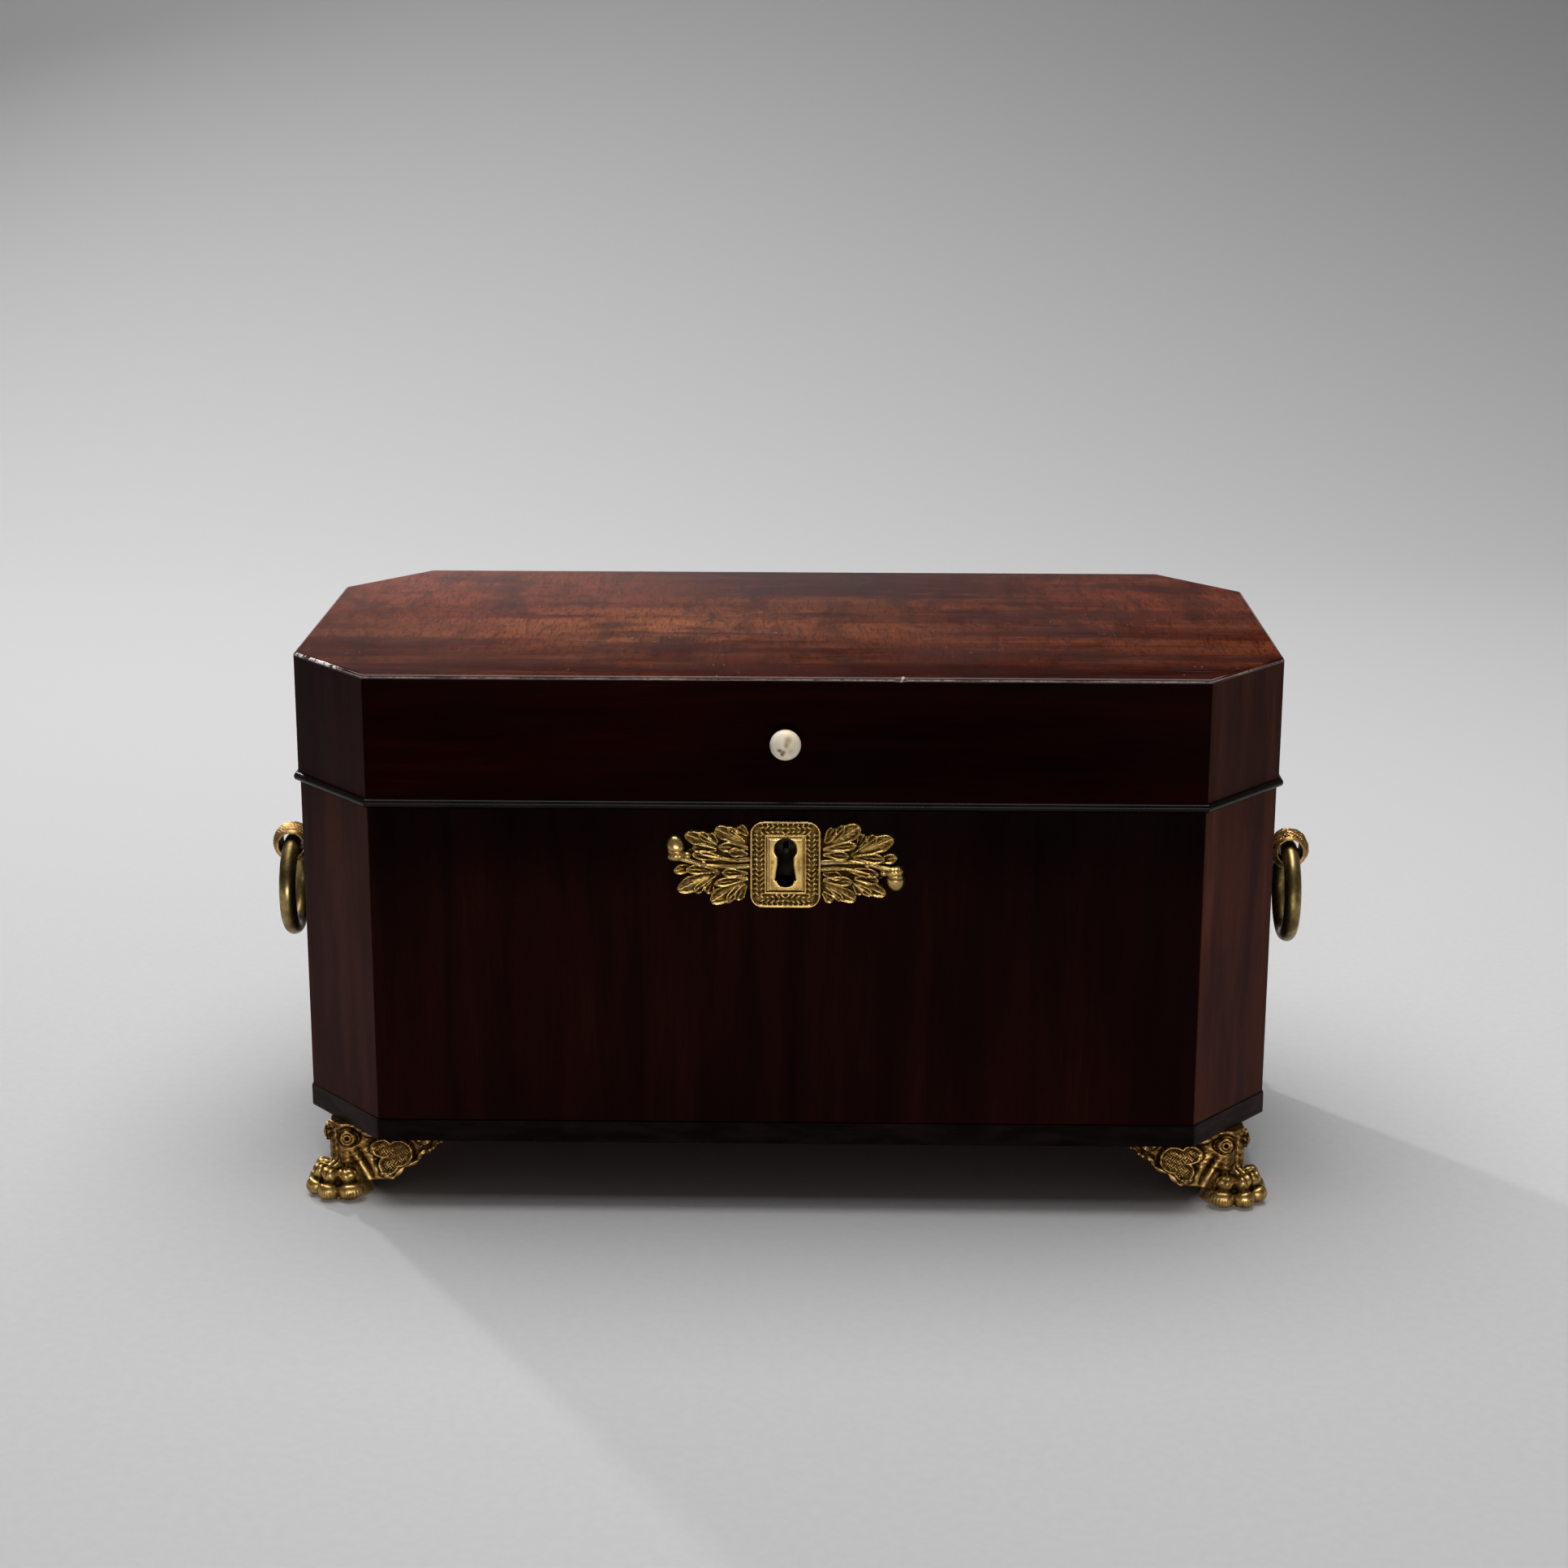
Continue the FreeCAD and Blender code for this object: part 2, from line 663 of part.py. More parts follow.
def oak_spray():
    """The spray on the right: two stems, four leaves and an acorn."""
    pieces = []
    half = STEM_WIDTH / 2
    for side in (-1, 1):
        z = side * STEM_SPACING / 2
        z_tip = side * STEM_TIP_SPACING / 2
        stem = polygon([
            on_front(0, z - half),
            on_front(STEM_REACH, z_tip - half),
            on_front(STEM_REACH, z_tip + half),
            on_front(0, z + half),
        ])
        pieces.append(relief(stem, STEM_RELIEF))
        near_root = on_front(INNER_LEAF_ROOT, z)
        near_tip = on_front(INNER_LEAF_REACH, side * INNER_LEAF_RISE)
        far_root = on_front(OUTER_LEAF_ROOT, z)
        far_tip = on_front(OUTER_LEAF_REACH, side * OUTER_LEAF_RISE)
        pieces += oak_leaf(near_root, near_tip)
        pieces += oak_leaf(far_root, far_tip)
    cup = on_front(ACORN_REACH, -ACORN_DROP)
    slant = math.radians(ACORN_SLANT)
    nut_end = cup + Vector(math.cos(slant), 0, math.sin(slant)) * ACORN_LENGTH
    acorn = fuse_all([
        Part.makeSphere(ACORN_RADIUS, cup),
        rod(ACORN_RADIUS, cup, nut_end),
        Part.makeSphere(ACORN_RADIUS, nut_end),
    ])
    behind = box(0, LID_WIDTH / 2, FRONT_FACE, 0, 0, LID_TOP)
    pieces.append(acorn.cut(behind))
    return fuse_all(pieces)


def rounded_rectangle(width, height, corner):
    """A rectangle with round corners, round the middle of the escutcheon."""
    x = width / 2
    z = height / 2
    inner_x = x - corner
    inner_z = z - corner
    bend = corner * math.sqrt(0.5)
    return outline(
        on_front(-inner_x, -z),
        on_front(inner_x, -z),
        (on_front(inner_x + bend, -inner_z - bend), on_front(x, -inner_z)),
        on_front(x, inner_z),
        (on_front(inner_x + bend, inner_z + bend), on_front(inner_x, z)),
        on_front(-inner_x, z),
        (on_front(-inner_x - bend, inner_z + bend), on_front(-x, inner_z)),
        on_front(-x, -inner_z),
        (on_front(-inner_x - bend, -inner_z - bend), on_front(-inner_x, -z)),
    )


def rectangle_on_front(width, height):
    """A plain rectangle round the middle of the escutcheon."""
    x = width / 2
    z = height / 2
    return polygon([on_front(-x, -z), on_front(x, -z), on_front(x, z), on_front(-x, z)])


def escutcheon_pieces():
    """The casting, the keyhole plate in its window and the pins."""
    body = relief(rounded_rectangle(FRAME_WIDTH, FRAME_HEIGHT, FRAME_CORNER), FRAME_RELIEF + FRAME_RIM_RELIEF)
    sunk = relief(
        rounded_rectangle(
            FRAME_WIDTH - 2 * FRAME_RIM, FRAME_HEIGHT - 2 * FRAME_RIM, FRAME_CORNER - FRAME_RIM
        ),
        FRAME_RIM_RELIEF,
    )
    sunk.translate(-Y_AXIS * FRAME_RELIEF)
    window = relief(rectangle_on_front(WINDOW_WIDTH, WINDOW_HEIGHT), FRAME_RELIEF + FRAME_RIM_RELIEF)
    right = oak_spray()
    left = right.copy()
    left.rotate(on_front(0, 0), Y_AXIS, 180)
    pin_profile = [
        (0, -PIN_DEPTH - STEM_RELIEF),
        (PIN_RADIUS, -PIN_DEPTH - STEM_RELIEF),
        (PIN_RADIUS, 0),
        (PIN_HEAD_RADIUS, 0),
        (PIN_HEAD_RADIUS - PIN_HEAD_CROWN, PIN_HEAD_HEIGHT - PIN_HEAD_CROWN),
        (0, PIN_HEAD_HEIGHT),
    ]
    pins = []
    for x in (-SPRAY_PIN_REACH, SPRAY_PIN_REACH):
        pins.append(turned(pin_profile, on_front(x, 0) - Y_AXIS * STEM_RELIEF, -Y_AXIS))
    # A web between the stems carries the pin's head.
    web = relief(rectangle_on_front(2 * STEM_REACH, STEM_SPACING), STEM_RELIEF)
    casting = fuse_all([body, right, left, web])
    casting = cut_all(casting, [sunk, window] + pins)
    plate = relief(rectangle_on_front(WINDOW_WIDTH, WINDOW_HEIGHT), KEYHOLE_PLATE)
    plate = plate.cut(keyhole(FRONT_FACE - KEYHOLE_PLATE, FRONT_FACE))
    return casting, plate, pins


def foot_wing():
    """The wing along the front of the front right foot, with its medallion and volute."""

    def at(reach, drop):
        return Vector(FOOT_CORNER_X - reach, FOOT_CORNER_Y, FOOT_HEIGHT - drop)

    tip = at(WING_LENGTH, WING_TIP_DROP)
    edge = at(WING_ROOT, WING_ROOT_DROP) - tip
    outward = Vector(edge.z, 0, -edge.x).normalize() * WING_SCALLOP_DEPTH
    scallops = []
    for i in range(WING_SCALLOPS):
        crest = tip + edge * ((i + 0.5) / WING_SCALLOPS) + outward
        scallops.append((crest, tip + edge * ((i + 1) / WING_SCALLOPS)))
    wing = outline(
        at(WING_START, 0), at(WING_LENGTH, 0), tip, *scallops, at(WING_START, WING_ROOT_DROP)
    ).extrude(Y_AXIS * WING_THICKNESS)
    pieces = [wing]
    lobes = [(at(MEDALLION_REACH, MEDALLION_DROP), MEDALLION_RADIUS)]
    for inward, shift in zip(LOBE_INWARD, LOBE_SHIFT):
        lobes.append((at(MEDALLION_REACH - inward, MEDALLION_DROP + shift), LOBE_RADIUS))
    for centre, radius in lobes:
        pieces.append(rod(radius, centre, centre - Y_AXIS * MEDALLION_RELIEF))
    volute = at(VOLUTE_REACH, VOLUTE_DROP)
    pieces.append(rod(VOLUTE_RADIUS, volute, volute - Y_AXIS * VOLUTE_RELIEF))
    return pieces


def across_diagonal(shape):
    """Mirrors a piece of the front right foot from its front wing to its end wing."""
    normal = Vector(1, 1, 0)
    return shape.mirror(Vector(FOOT_CORNER_X, FOOT_CORNER_Y, 0), normal)


def on_diagonal(reach, height):
    """A point of the front right foot, straight out from its corner."""
    step = reach * math.sqrt(0.5)
    return Vector(FOOT_CORNER_X + step, FOOT_CORNER_Y - step, height)


def foot_leg():
    """The leg, waisted between the bracket and the paw."""
    sections = [
        (LEG_ANKLE_REACH, LEG_ANKLE_HEIGHT, LEG_ANKLE_RADIUS),
        (LEG_WAIST_REACH, LEG_WAIST_HEIGHT, LEG_WAIST_RADIUS),
        (LEG_TOP_REACH, FOOT_HEIGHT, LEG_TOP_RADIUS),
    ]
    rings = []
    for reach, height, radius in sections:
        circle = Part.makeCircle(radius, on_diagonal(reach, height), Z_AXIS)
        rings.append(Part.Wire([circle]))
    return Part.makeLoft(rings, True)


def foot_paw():
    """The sole and the toes, each with a tendon from the ankle, a knuckle and a tip."""
    centre = on_diagonal(PAW_REACH, 0)
    ankle = on_diagonal(LEG_ANKLE_REACH, TENDON_HEIGHT)
    pieces = [Part.makeCone(SOLE_RADIUS, SOLE_TOP_RADIUS, SOLE_HEIGHT, centre, Z_AXIS)]
    for i in range(TOES):
        angle = math.radians(-45 + (i - (TOES - 1) / 2) * TOE_SPREAD)
        forward = Vector(math.cos(angle), math.sin(angle), 0)
        knuckle = centre + forward * KNUCKLE_REACH + Z_AXIS * KNUCKLE_HEIGHT
        tip = centre + forward * TOE_REACH + Z_AXIS * TOE_HEIGHT
        pieces.append(rod(TENDON_RADIUS, ankle, knuckle))
        pieces.append(rod(KNUCKLE_RADIUS, knuckle, tip))
        pieces.append(Part.makeSphere(KNUCKLE_RADIUS, knuckle))
        pieces.append(Part.makeSphere(TOE_RADIUS, tip))
    return pieces


def flange_screws():
    """Two screws that hold the front right foot to the bottom board."""
    height = FOOT_HEIGHT - FLANGE_THICKNESS
    screws = []
    for along_front, along_end in (
        (FLANGE_SCREW_FAR, FLANGE_SCREW_NEAR),
        (FLANGE_SCREW_NEAR, FLANGE_SCREW_FAR),
    ):
        seat = Vector(FOOT_CORNER_X - along_front, FOOT_CORNER_Y + along_end, height)
        screws.append(countersunk_screw(seat, Z_AXIS))
    return screws


def paw_foot():
    """The front right foot as one casting, screwed up through its flange."""
    flange = prism(
        [
            Vector(FOOT_CORNER_X - FLANGE_REACH, FOOT_CORNER_Y, 0),
            Vector(FOOT_CORNER_X - WING_START, FOOT_CORNER_Y, 0),
            Vector(FOOT_CORNER_X, FOOT_CORNER_Y + WING_START, 0),
            Vector(FOOT_CORNER_X, FOOT_CORNER_Y + FLANGE_REACH, 0),
        ],
        FOOT_HEIGHT - FLANGE_THICKNESS,
        FOOT_HEIGHT,
    )
    front_wing = foot_wing()
    end_wing = [across_diagonal(piece) for piece in front_wing]
    casting = fuse_all([foot_leg(), flange] + front_wing + end_wing + foot_paw())
    below = box(0, LID_WIDTH, -LID_DEPTH, LID_DEPTH, -FOOT_HEIGHT, 0)
    return cut_all(casting, [below] + flange_screws())


def four_corners(shape):
    """The piece of the front right foot at all four corners, by name."""
    return {
        "front_right": shape,
        "front_left": mirror_x(shape),
        "back_right": mirror_y(shape),
        "back_left": mirror_x(mirror_y(shape)),
    }


def mixing_bowl():
    """A plain tapered glass bowl with a turned-out rim that rests on the collar."""
    seat = INNER_TOP + SEAT_GAP
    bottom = BODY_BOTTOM + BOWL_FLOOR_GAP
    top = seat + BOWL_RIM
    soft = BOWL_RIM_SOFTENING
    profile = [
        (0, bottom),
        (BOWL_BASE_RADIUS - BOWL_WALL, bottom),
        (BOWL_BASE_RADIUS, bottom + BOWL_WALL),
        (BOWL_RADIUS, seat),
        (BOWL_RADIUS + BOWL_RIM, seat),
        (BOWL_RADIUS + BOWL_RIM, top - soft),
        (BOWL_RADIUS + BOWL_RIM - soft, top),
        (BOWL_RADIUS - BOWL_WALL + soft, top),
        (BOWL_RADIUS - BOWL_WALL, top - soft),
        (BOWL_BASE_RADIUS - BOWL_WALL, bottom + BOWL_BASE + BOWL_WALL),
        (BOWL_BASE_RADIUS - 2 * BOWL_WALL, bottom + BOWL_BASE),
        (0, bottom + BOWL_BASE),
    ]
    return turned(profile, Vector(), Z_AXIS)


def tea_compartment():
    """Plan of the right-hand tea compartment, counter-clockwise."""
    corners = inset(plan(), BODY_INSET + WALL)
    partition_face = WELL_HALF + PARTITION
    front = Vector(partition_face, corners[1].y, 0)
    back = Vector(partition_face, corners[4].y, 0)
    return [front] + corners[1:5] + [back]


def half_round_bead():
    """Ebonised bead round the foot of the lid, in mitred lengths, open at the hinges."""
    points = plan()
    outer = inset(points, -2 * BEAD_RADIUS)
    middle = LID_BOTTOM + BEAD_RADIUS
    notches = []
    for side in (-1, 1):
        x = side * HINGE_SPACING / 2
        half = HINGE_LENGTH / 2 + BARREL_CLEARANCE
        notches.append(
            box(x - half, x + half, BACK_EDGE, BACK_EDGE + 2 * BEAD_RADIUS, LID_BOTTOM, LID_TOP)
        )
    lengths = []
    for i in range(len(points)):
        j = (i + 1) % len(points)
        overrun = (points[j] - points[i]).normalize() * 4 * BEAD_RADIUS
        start = points[i] + Z_AXIS * middle - overrun
        end = points[j] + Z_AXIS * middle + overrun
        sector = prism([points[i], outer[i], outer[j], points[j]], LID_BOTTOM, LID_BOTTOM + 2 * BEAD_RADIUS)
        lengths += cut_all(rod(BEAD_RADIUS, start, end).common(sector), notches).Solids
    return lengths


def build_body(screws, boss_pieces):
    """The fixed woodwork of the box and its lined inside."""
    outer = inset(plan(), BODY_INSET)
    panels = dict(zip(SIDES, mitred_lengths(outer, WALL, BODY_BOTTOM, RIM)))
    case, cap, bolt, spring = lock_pieces()
    casting, keyhole_plate, pins = escutcheon_pieces()
    mortise = box(-LOCK_WIDTH / 2, LOCK_WIDTH / 2, LOCK_OUTER, FRONT_INNER, LOCK_BOTTOM, RIM)
    selvedge_recess = box(
        -SELVEDGE_LENGTH / 2, SELVEDGE_LENGTH / 2, LOCK_OUTER, FRONT_INNER, SELVEDGE_BOTTOM, RIM
    )
    selvedge_screws = lock_screws(RIM, -Z_AXIS)
    case = cut_all(case, selvedge_screws)
    screws["case"] += selvedge_screws
    panels["front"] = cut_all(
        panels["front"],
        [mortise, selvedge_recess, keyhole(FRONT_FACE, LOCK_OUTER)] + selvedge_screws + pins,
    )
    save("lock_case", case)
    save("lock_cap", cap)
    save("lock_bolt", bolt)
    save("lock_spring", spring)
    save("escutcheon", casting)
    save("keyhole_plate", keyhole_plate)
    save("escutcheon_pins", *pins)

    boss, recess = boss_pieces
    panels["right"] = cut_all(panels["right"], [boss, recess])
    panels["left"] = cut_all(panels["left"], [mirror_x(boss), mirror_x(recess)])

    hinge_pins = []
    for name, x in (("left", -HINGE_SPACING / 2), ("right", HINGE_SPACING / 2)):
        leaf = hinge_leaf(x, False)
        leaf_screws = hinge_screws(x, False)
        panels["back"] = cut_all(panels["back"], [leaf] + leaf_screws)
        screws["case"] += leaf_screws
        save(name + "_hinge_body_leaf", cut_all(leaf, leaf_screws))
        hinge_pins.append(hinge_pin(x, HINGE_PIN_RADIUS))
    save("hinge_pins", *hinge_pins)
    for side, panel in panels.items():
        save("body_" + side, panel)

    strips = mitred_lengths(
        inset(outer, -BASE_PROUD), BASE_STRIP + BASE_PROUD, FOOT_HEIGHT, BODY_BOTTOM
    )
    save("base_strips", *strips)


def build_inside():
    """Partitions, tea linings, inner lids with their knobs, collar and bowl."""
    back_inner = -FRONT_INNER
    partition = box(WELL_HALF, WELL_HALF + PARTITION, FRONT_INNER, back_inner, BODY_BOTTOM, INNER_TOP)
    save("right_partition", partition)
    save("left_partition", mirror_x(partition))

    compartment = tea_compartment()
    floor_top = BODY_BOTTOM + TEA_LINING
    sheets = [prism(compartment, BODY_BOTTOM, floor_top)]
    sheets += mitred_lengths(compartment, TEA_LINING, floor_top, LINING_TOP)
    save("right_tea_lining", *sheets)
    save("left_tea_lining", *[mirror_x(sheet) for sheet in sheets])

    knob_x = (WELL_HALF + PARTITION + END_INNER) / 2
    knob = bone_knob(
        Vector(knob_x, 0, INNER_TOP),
        Z_AXIS,
        INNER_KNOB_RADIUS,
        INNER_KNOB_HEIGHT,
        INNER_KNOB_HEAD,
        INNER_KNOB_NECK,
        INNER_KNOB_FOOT,
        INNER_KNOB_TENON,
        INNER_KNOB_TENON_LENGTH,
        KNOB_SOFTENING,
    )
    panel = prism(inset(compartment, INNER_LID_CLEARANCE), INNER_LID_BOTTOM, INNER_TOP).cut(knob)
    save("right_inner_lid", panel)
    save("left_inner_lid", mirror_x(panel))
    save("right_inner_knob", knob)
    save("left_inner_knob", mirror_x(knob))

    collar = box(-WELL_HALF, WELL_HALF, FRONT_INNER, back_inner, INNER_TOP - COLLAR, INNER_TOP)
    hole = rod(BOWL_RADIUS + BOWL_CLEARANCE, Vector(0, 0, INNER_TOP - COLLAR), Vector(0, 0, INNER_TOP))
    save("bowl_collar", collar.cut(hole))
    save("mixing_bowl", mixing_bowl())


def build_lid(screws):
    """The lid: rails, board, veneer, lining, bead, knob and link plate."""
    rails = dict(zip(SIDES, mitred_lengths(plan(), LID_WALL, LID_BOTTOM, VENEER_BOTTOM)))
    knob = bone_knob(
        Vector(0, -LID_DEPTH / 2, KNOB_HEIGHT),
        -Y_AXIS,
        KNOB_RADIUS,
        KNOB_LENGTH,
        KNOB_HEAD,
        KNOB_NECK_RADIUS,
        KNOB_FOOT_RADIUS,
        KNOB_TENON_RADIUS,
        KNOB_TENON_LENGTH,
        KNOB_SOFTENING,
    )
    plate, *staple = link_plate()
    plate_screws = lock_screws(LID_BOTTOM, Z_AXIS)
    rails["front"] = cut_all(rails["front"], [knob, plate] + plate_screws)
    screws["lid"] += plate_screws
    save("lid_knob", knob)
    save("link_plate", cut_all(plate, plate_screws), *staple)

    for name, x in (("left", -HINGE_SPACING / 2), ("right", HINGE_SPACING / 2)):
        leaf = hinge_leaf(x, True)
        leaf_screws = hinge_screws(x, True)
        rails["back"] = cut_all(rails["back"], [leaf] + leaf_screws)
        screws["lid"] += leaf_screws
        save(name + "_hinge_lid_leaf", cut_all(leaf, leaf_screws))
    for side, rail in rails.items():
        save("lid_" + side, rail)

    inside = inset(plan(), LID_WALL)
    save("lid_board", prism(inside, BOARD_BOTTOM, VENEER_BOTTOM))
    save("lid_lining", prism(inside, BOARD_BOTTOM - LID_LINING, BOARD_BOTTOM))
    veneer = prism(plan(), VENEER_BOTTOM, LID_TOP)
    top_edges = [edge for edge in veneer.Edges if edge.BoundBox.ZMin > VENEER_BOTTOM + VENEER / 2]
    save("lid_top_veneer", veneer.makeFillet(VENEER - VENEER_SQUARE, top_edges))
    save("lid_bead", *half_round_bead())


def build_feet():
    """The feet, their screws and the bottom board that they are screwed to."""
    board = prism(inset(plan(), BODY_INSET + BASE_STRIP), FOOT_HEIGHT, BODY_BOTTOM)
    for name, foot in four_corners(paw_foot()).items():
        save("foot_" + name, foot)
    screws = []
    for screw in flange_screws():
        screws += four_corners(screw).values()
    save("bottom_board", cut_all(board, screws))
    save("foot_screws", *screws)


def build_handles():
    """Bosses, their nuts and the rings. Returns what the end panels are cut for."""
    boss = handle_boss()
    ring = handle_ring()
    washer, nut, recess = handle_fastening()
    save("right_handle_boss", boss)
    save("left_handle_boss", mirror_x(boss))
    save("right_ring", ring)
    save("left_ring", mirror_x(ring))
    save("handle_nuts", nut, mirror_x(nut))
    save("handle_washers", washer, mirror_x(washer))
    return boss, recess


def main():
    """Builds every piece of the caddy and writes it to its own file."""
    os.makedirs("parts", exist_ok=True)
    screws = {"case": [], "lid": []}
    build_feet()
    build_body(screws, build_handles())
    build_inside()
    build_lid(screws)
    save("case_screws", *screws["case"])
    save("lid_screws", *screws["lid"])


main()
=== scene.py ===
import json
import math

import bmesh
import bpy
import numpy as np
from mathutils import Matrix, Vector


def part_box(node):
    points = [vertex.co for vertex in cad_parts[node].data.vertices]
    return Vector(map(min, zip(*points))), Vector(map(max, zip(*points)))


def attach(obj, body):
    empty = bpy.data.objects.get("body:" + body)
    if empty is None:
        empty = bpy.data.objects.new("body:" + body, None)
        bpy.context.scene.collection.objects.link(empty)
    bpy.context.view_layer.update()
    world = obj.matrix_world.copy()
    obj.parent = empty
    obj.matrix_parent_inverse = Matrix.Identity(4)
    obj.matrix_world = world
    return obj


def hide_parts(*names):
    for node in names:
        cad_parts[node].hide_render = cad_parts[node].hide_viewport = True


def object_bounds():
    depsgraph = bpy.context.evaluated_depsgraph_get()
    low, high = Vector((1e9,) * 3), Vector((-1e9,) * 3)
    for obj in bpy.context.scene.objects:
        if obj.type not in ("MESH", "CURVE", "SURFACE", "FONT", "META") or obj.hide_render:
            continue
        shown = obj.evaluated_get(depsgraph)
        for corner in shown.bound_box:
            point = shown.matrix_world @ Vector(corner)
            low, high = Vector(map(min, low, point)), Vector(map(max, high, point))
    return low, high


# Mahogany tea caddy with canted corners, gilt mounts and paw feet. Metres, front towards -Y.

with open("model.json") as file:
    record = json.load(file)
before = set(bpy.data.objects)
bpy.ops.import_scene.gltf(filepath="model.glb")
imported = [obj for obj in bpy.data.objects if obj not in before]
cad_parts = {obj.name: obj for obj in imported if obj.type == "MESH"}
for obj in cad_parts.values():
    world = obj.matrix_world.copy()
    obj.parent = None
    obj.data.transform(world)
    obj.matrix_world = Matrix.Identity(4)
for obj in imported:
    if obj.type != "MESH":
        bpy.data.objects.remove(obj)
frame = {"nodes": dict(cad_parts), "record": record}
cad_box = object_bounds()
nodes = frame["nodes"]
body_of = {node: body for body, names in frame["record"]["behaviour"]["bodies"].items() for node in names}
slot_of = {part["node"]: part["material_slot"] for part in frame["record"]["subparts"]}

MM = 0.001
SLANT = math.sqrt(0.5)

# Levels and faces of the box, read from the frame
LID_LOW, LID_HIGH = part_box("lid_top_veneer")
HALF_WIDTH = LID_HIGH.x
HALF_DEPTH = LID_HIGH.y
LID_TOP = LID_HIGH.z
CANT_FRONT_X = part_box("lid_front")[1].x
CANT_END_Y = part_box("lid_left")[1].y
FRONT_LOW, FRONT_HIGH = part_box("body_front")
FRONT_FACE = FRONT_LOW.y
FRAME_LOW, FRAME_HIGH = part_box("escutcheon")
WINDOW_LOW, WINDOW_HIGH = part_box("keyhole_plate")

# Escutcheon, in millimetres from its middle
FRAME_MIDDLE = Vector((0, FRONT_FACE, (FRAME_LOW.z + FRAME_HIGH.z) / 2))
FRAME_HALF_WIDTH = 11.3
FRAME_HALF_HEIGHT = (FRAME_HIGH.z - FRAME_LOW.z) / 2 / MM
FRAME_CORNER = 4.2
WINDOW_HALF_WIDTH = WINDOW_HIGH.x / MM
WINDOW_HALF_HEIGHT = (WINDOW_HIGH.z - WINDOW_LOW.z) / 2 / MM
KEYHOLE_EYE = 4.8
KEYHOLE_RADIUS = 3.3
CASTING_GROUND = (41, 15)
PLATE_GROUND = (6.2, 9.4)

# Knob on the lid's front
KNOB_LOW, KNOB_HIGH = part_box("lid_knob")
KNOB_FACE = Vector((0, KNOB_LOW.y, (KNOB_LOW.z + KNOB_HIGH.z) / 2))
KNOB_RADIUS = KNOB_HIGH.x
KNOB_DOME = 3.4 * MM
KNOB_NECK = 2.3 * MM
NECK_SINK = 0.3 * MM
NECK_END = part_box("lid_front")[0].y + NECK_SINK

# Corner of the front right foot, set back from the lid's edges. The others are its mirror images.
FOOT_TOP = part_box("foot_front_right")[1].z
SETBACK_END = 8 * MM
SETBACK_FRONT = 14 * MM
FOOT_CORNER = Vector((HALF_WIDTH - SETBACK_END, SETBACK_FRONT - HALF_DEPTH, FOOT_TOP))
FOOT_FLIPS = {"front_left": (-1, 1, 1), "back_right": (1, -1, 1), "back_left": (-1, -1, 1)}

# Its paw, in millimetres from that corner. A toe's joints are given ahead and up.
PAW_FORWARD = -5.5
PAW_HEART = -4.3
HEART_UP = 4.8
HEART_RADIUS = 7.0
HEART_SQUASH = 0.9
TOES = 4
TOE_SPREAD = 44
KNUCKLE_AT = (7.2, 8.2)
KNUCKLE_RADIUS = 2.7
TOE_AT = (8.8, 3.5)
TOE_RADIUS = 3.6
TOE_SQUASH = 0.95
NAIL_AT = (8.9, 3.5)
VOLUTE = (6.6, 4.5)

# Wings of a foot: how far they are drawn along and up, between which places, and where their skin is chased
WING_SHIFT = 3.0
WING_LIFT = 1.0
DRAWN_FROM = 7
DRAWN_TO = 42
WING_OUT = (-1.2, 4.6)
WING_FROM = 2.6
WING_BELOW = 0.5

# Pierced balls of the ring handles, in millimetres, with counts of beads, petals and veins round them.
# The skin that takes ornament, and the hole, are measured from the ball's radius.
BALL_RADIUS = 6.9
BALL_SKIN = (-0.6, 0.4)
BALL_HOLE = -0.9
BALL_BEAD_PITCH = 0.95
BALL_BEADS_ROUND = 38
BALL_PETALS = 7
BALL_VEINS = 31
BALL_RIM = 4.3
BALL_RIM_HEIGHT = 0.12

# Table and backdrop
TABLE_FRONT = -0.45
BEND_START = 1.0
BEND = 1.7
BEND_STEPS = 32
STAGE_HALF = 3.2

# Camera of the photograph
CAMERA_PLACE = Vector((0.0148, -0.9859, 0.3923))
CAMERA_DOWN = 0.266
CAMERA_LEFT = 0.017
CAMERA_ROLL = 0.002
LENS = 68.0
SENSOR = 36.0

SIDES = ("front", "back", "left", "right")
CANTS = ("cant_front_left", "cant_front_right", "cant_back_left", "cant_back_right")


# Helpers for shader nodes

def feed(tree, socket, value):
    """Gives a socket a link or a plain value."""
    if isinstance(value, bpy.types.NodeSocket):
        tree.links.new(value, socket)
    else:
        socket.default_value = value


def node(tree, kind, inputs=None, **settings):
    """A shader node with its settings, and its inputs given as values or links."""
    made = tree.nodes.new(kind)
    for name, value in settings.items():
        setattr(made, name, value)
    for key, value in (inputs or {}).items():
        feed(tree, made.inputs[key], value)
    return made


def finish(name):
    """A new material, its node tree and its shader."""
    material = bpy.data.materials.new(name)
    material.use_nodes = True
    tree = material.node_tree
    return material, tree, tree.nodes["Principled BSDF"]


def set_shader(tree, shader, **sockets):
    """Gives the shader's sockets, named with underscores for spaces, their patterns or plain values."""
    for name, value in sockets.items():
        feed(tree, shader.inputs[name.replace("_", " ")], value)


def place(tree, scale=(1, 1, 1), turn=(0, 0, 0), shift=(0, 0, 0)):
    """Object coordinates, shifted, turned and stretched."""
    spot = node(tree, "ShaderNodeTexCoord").outputs["Object"]
    inputs = {"Vector": spot, "Scale": scale, "Rotation": turn, "Location": shift}
    return node(tree, "ShaderNodeMapping", inputs).outputs[0]


def coordinate(tree, axis):
    """One of the object coordinates, X, Y or Z."""
    return node(tree, "ShaderNodeSeparateXYZ", {"Vector": place(tree)}).outputs[axis]


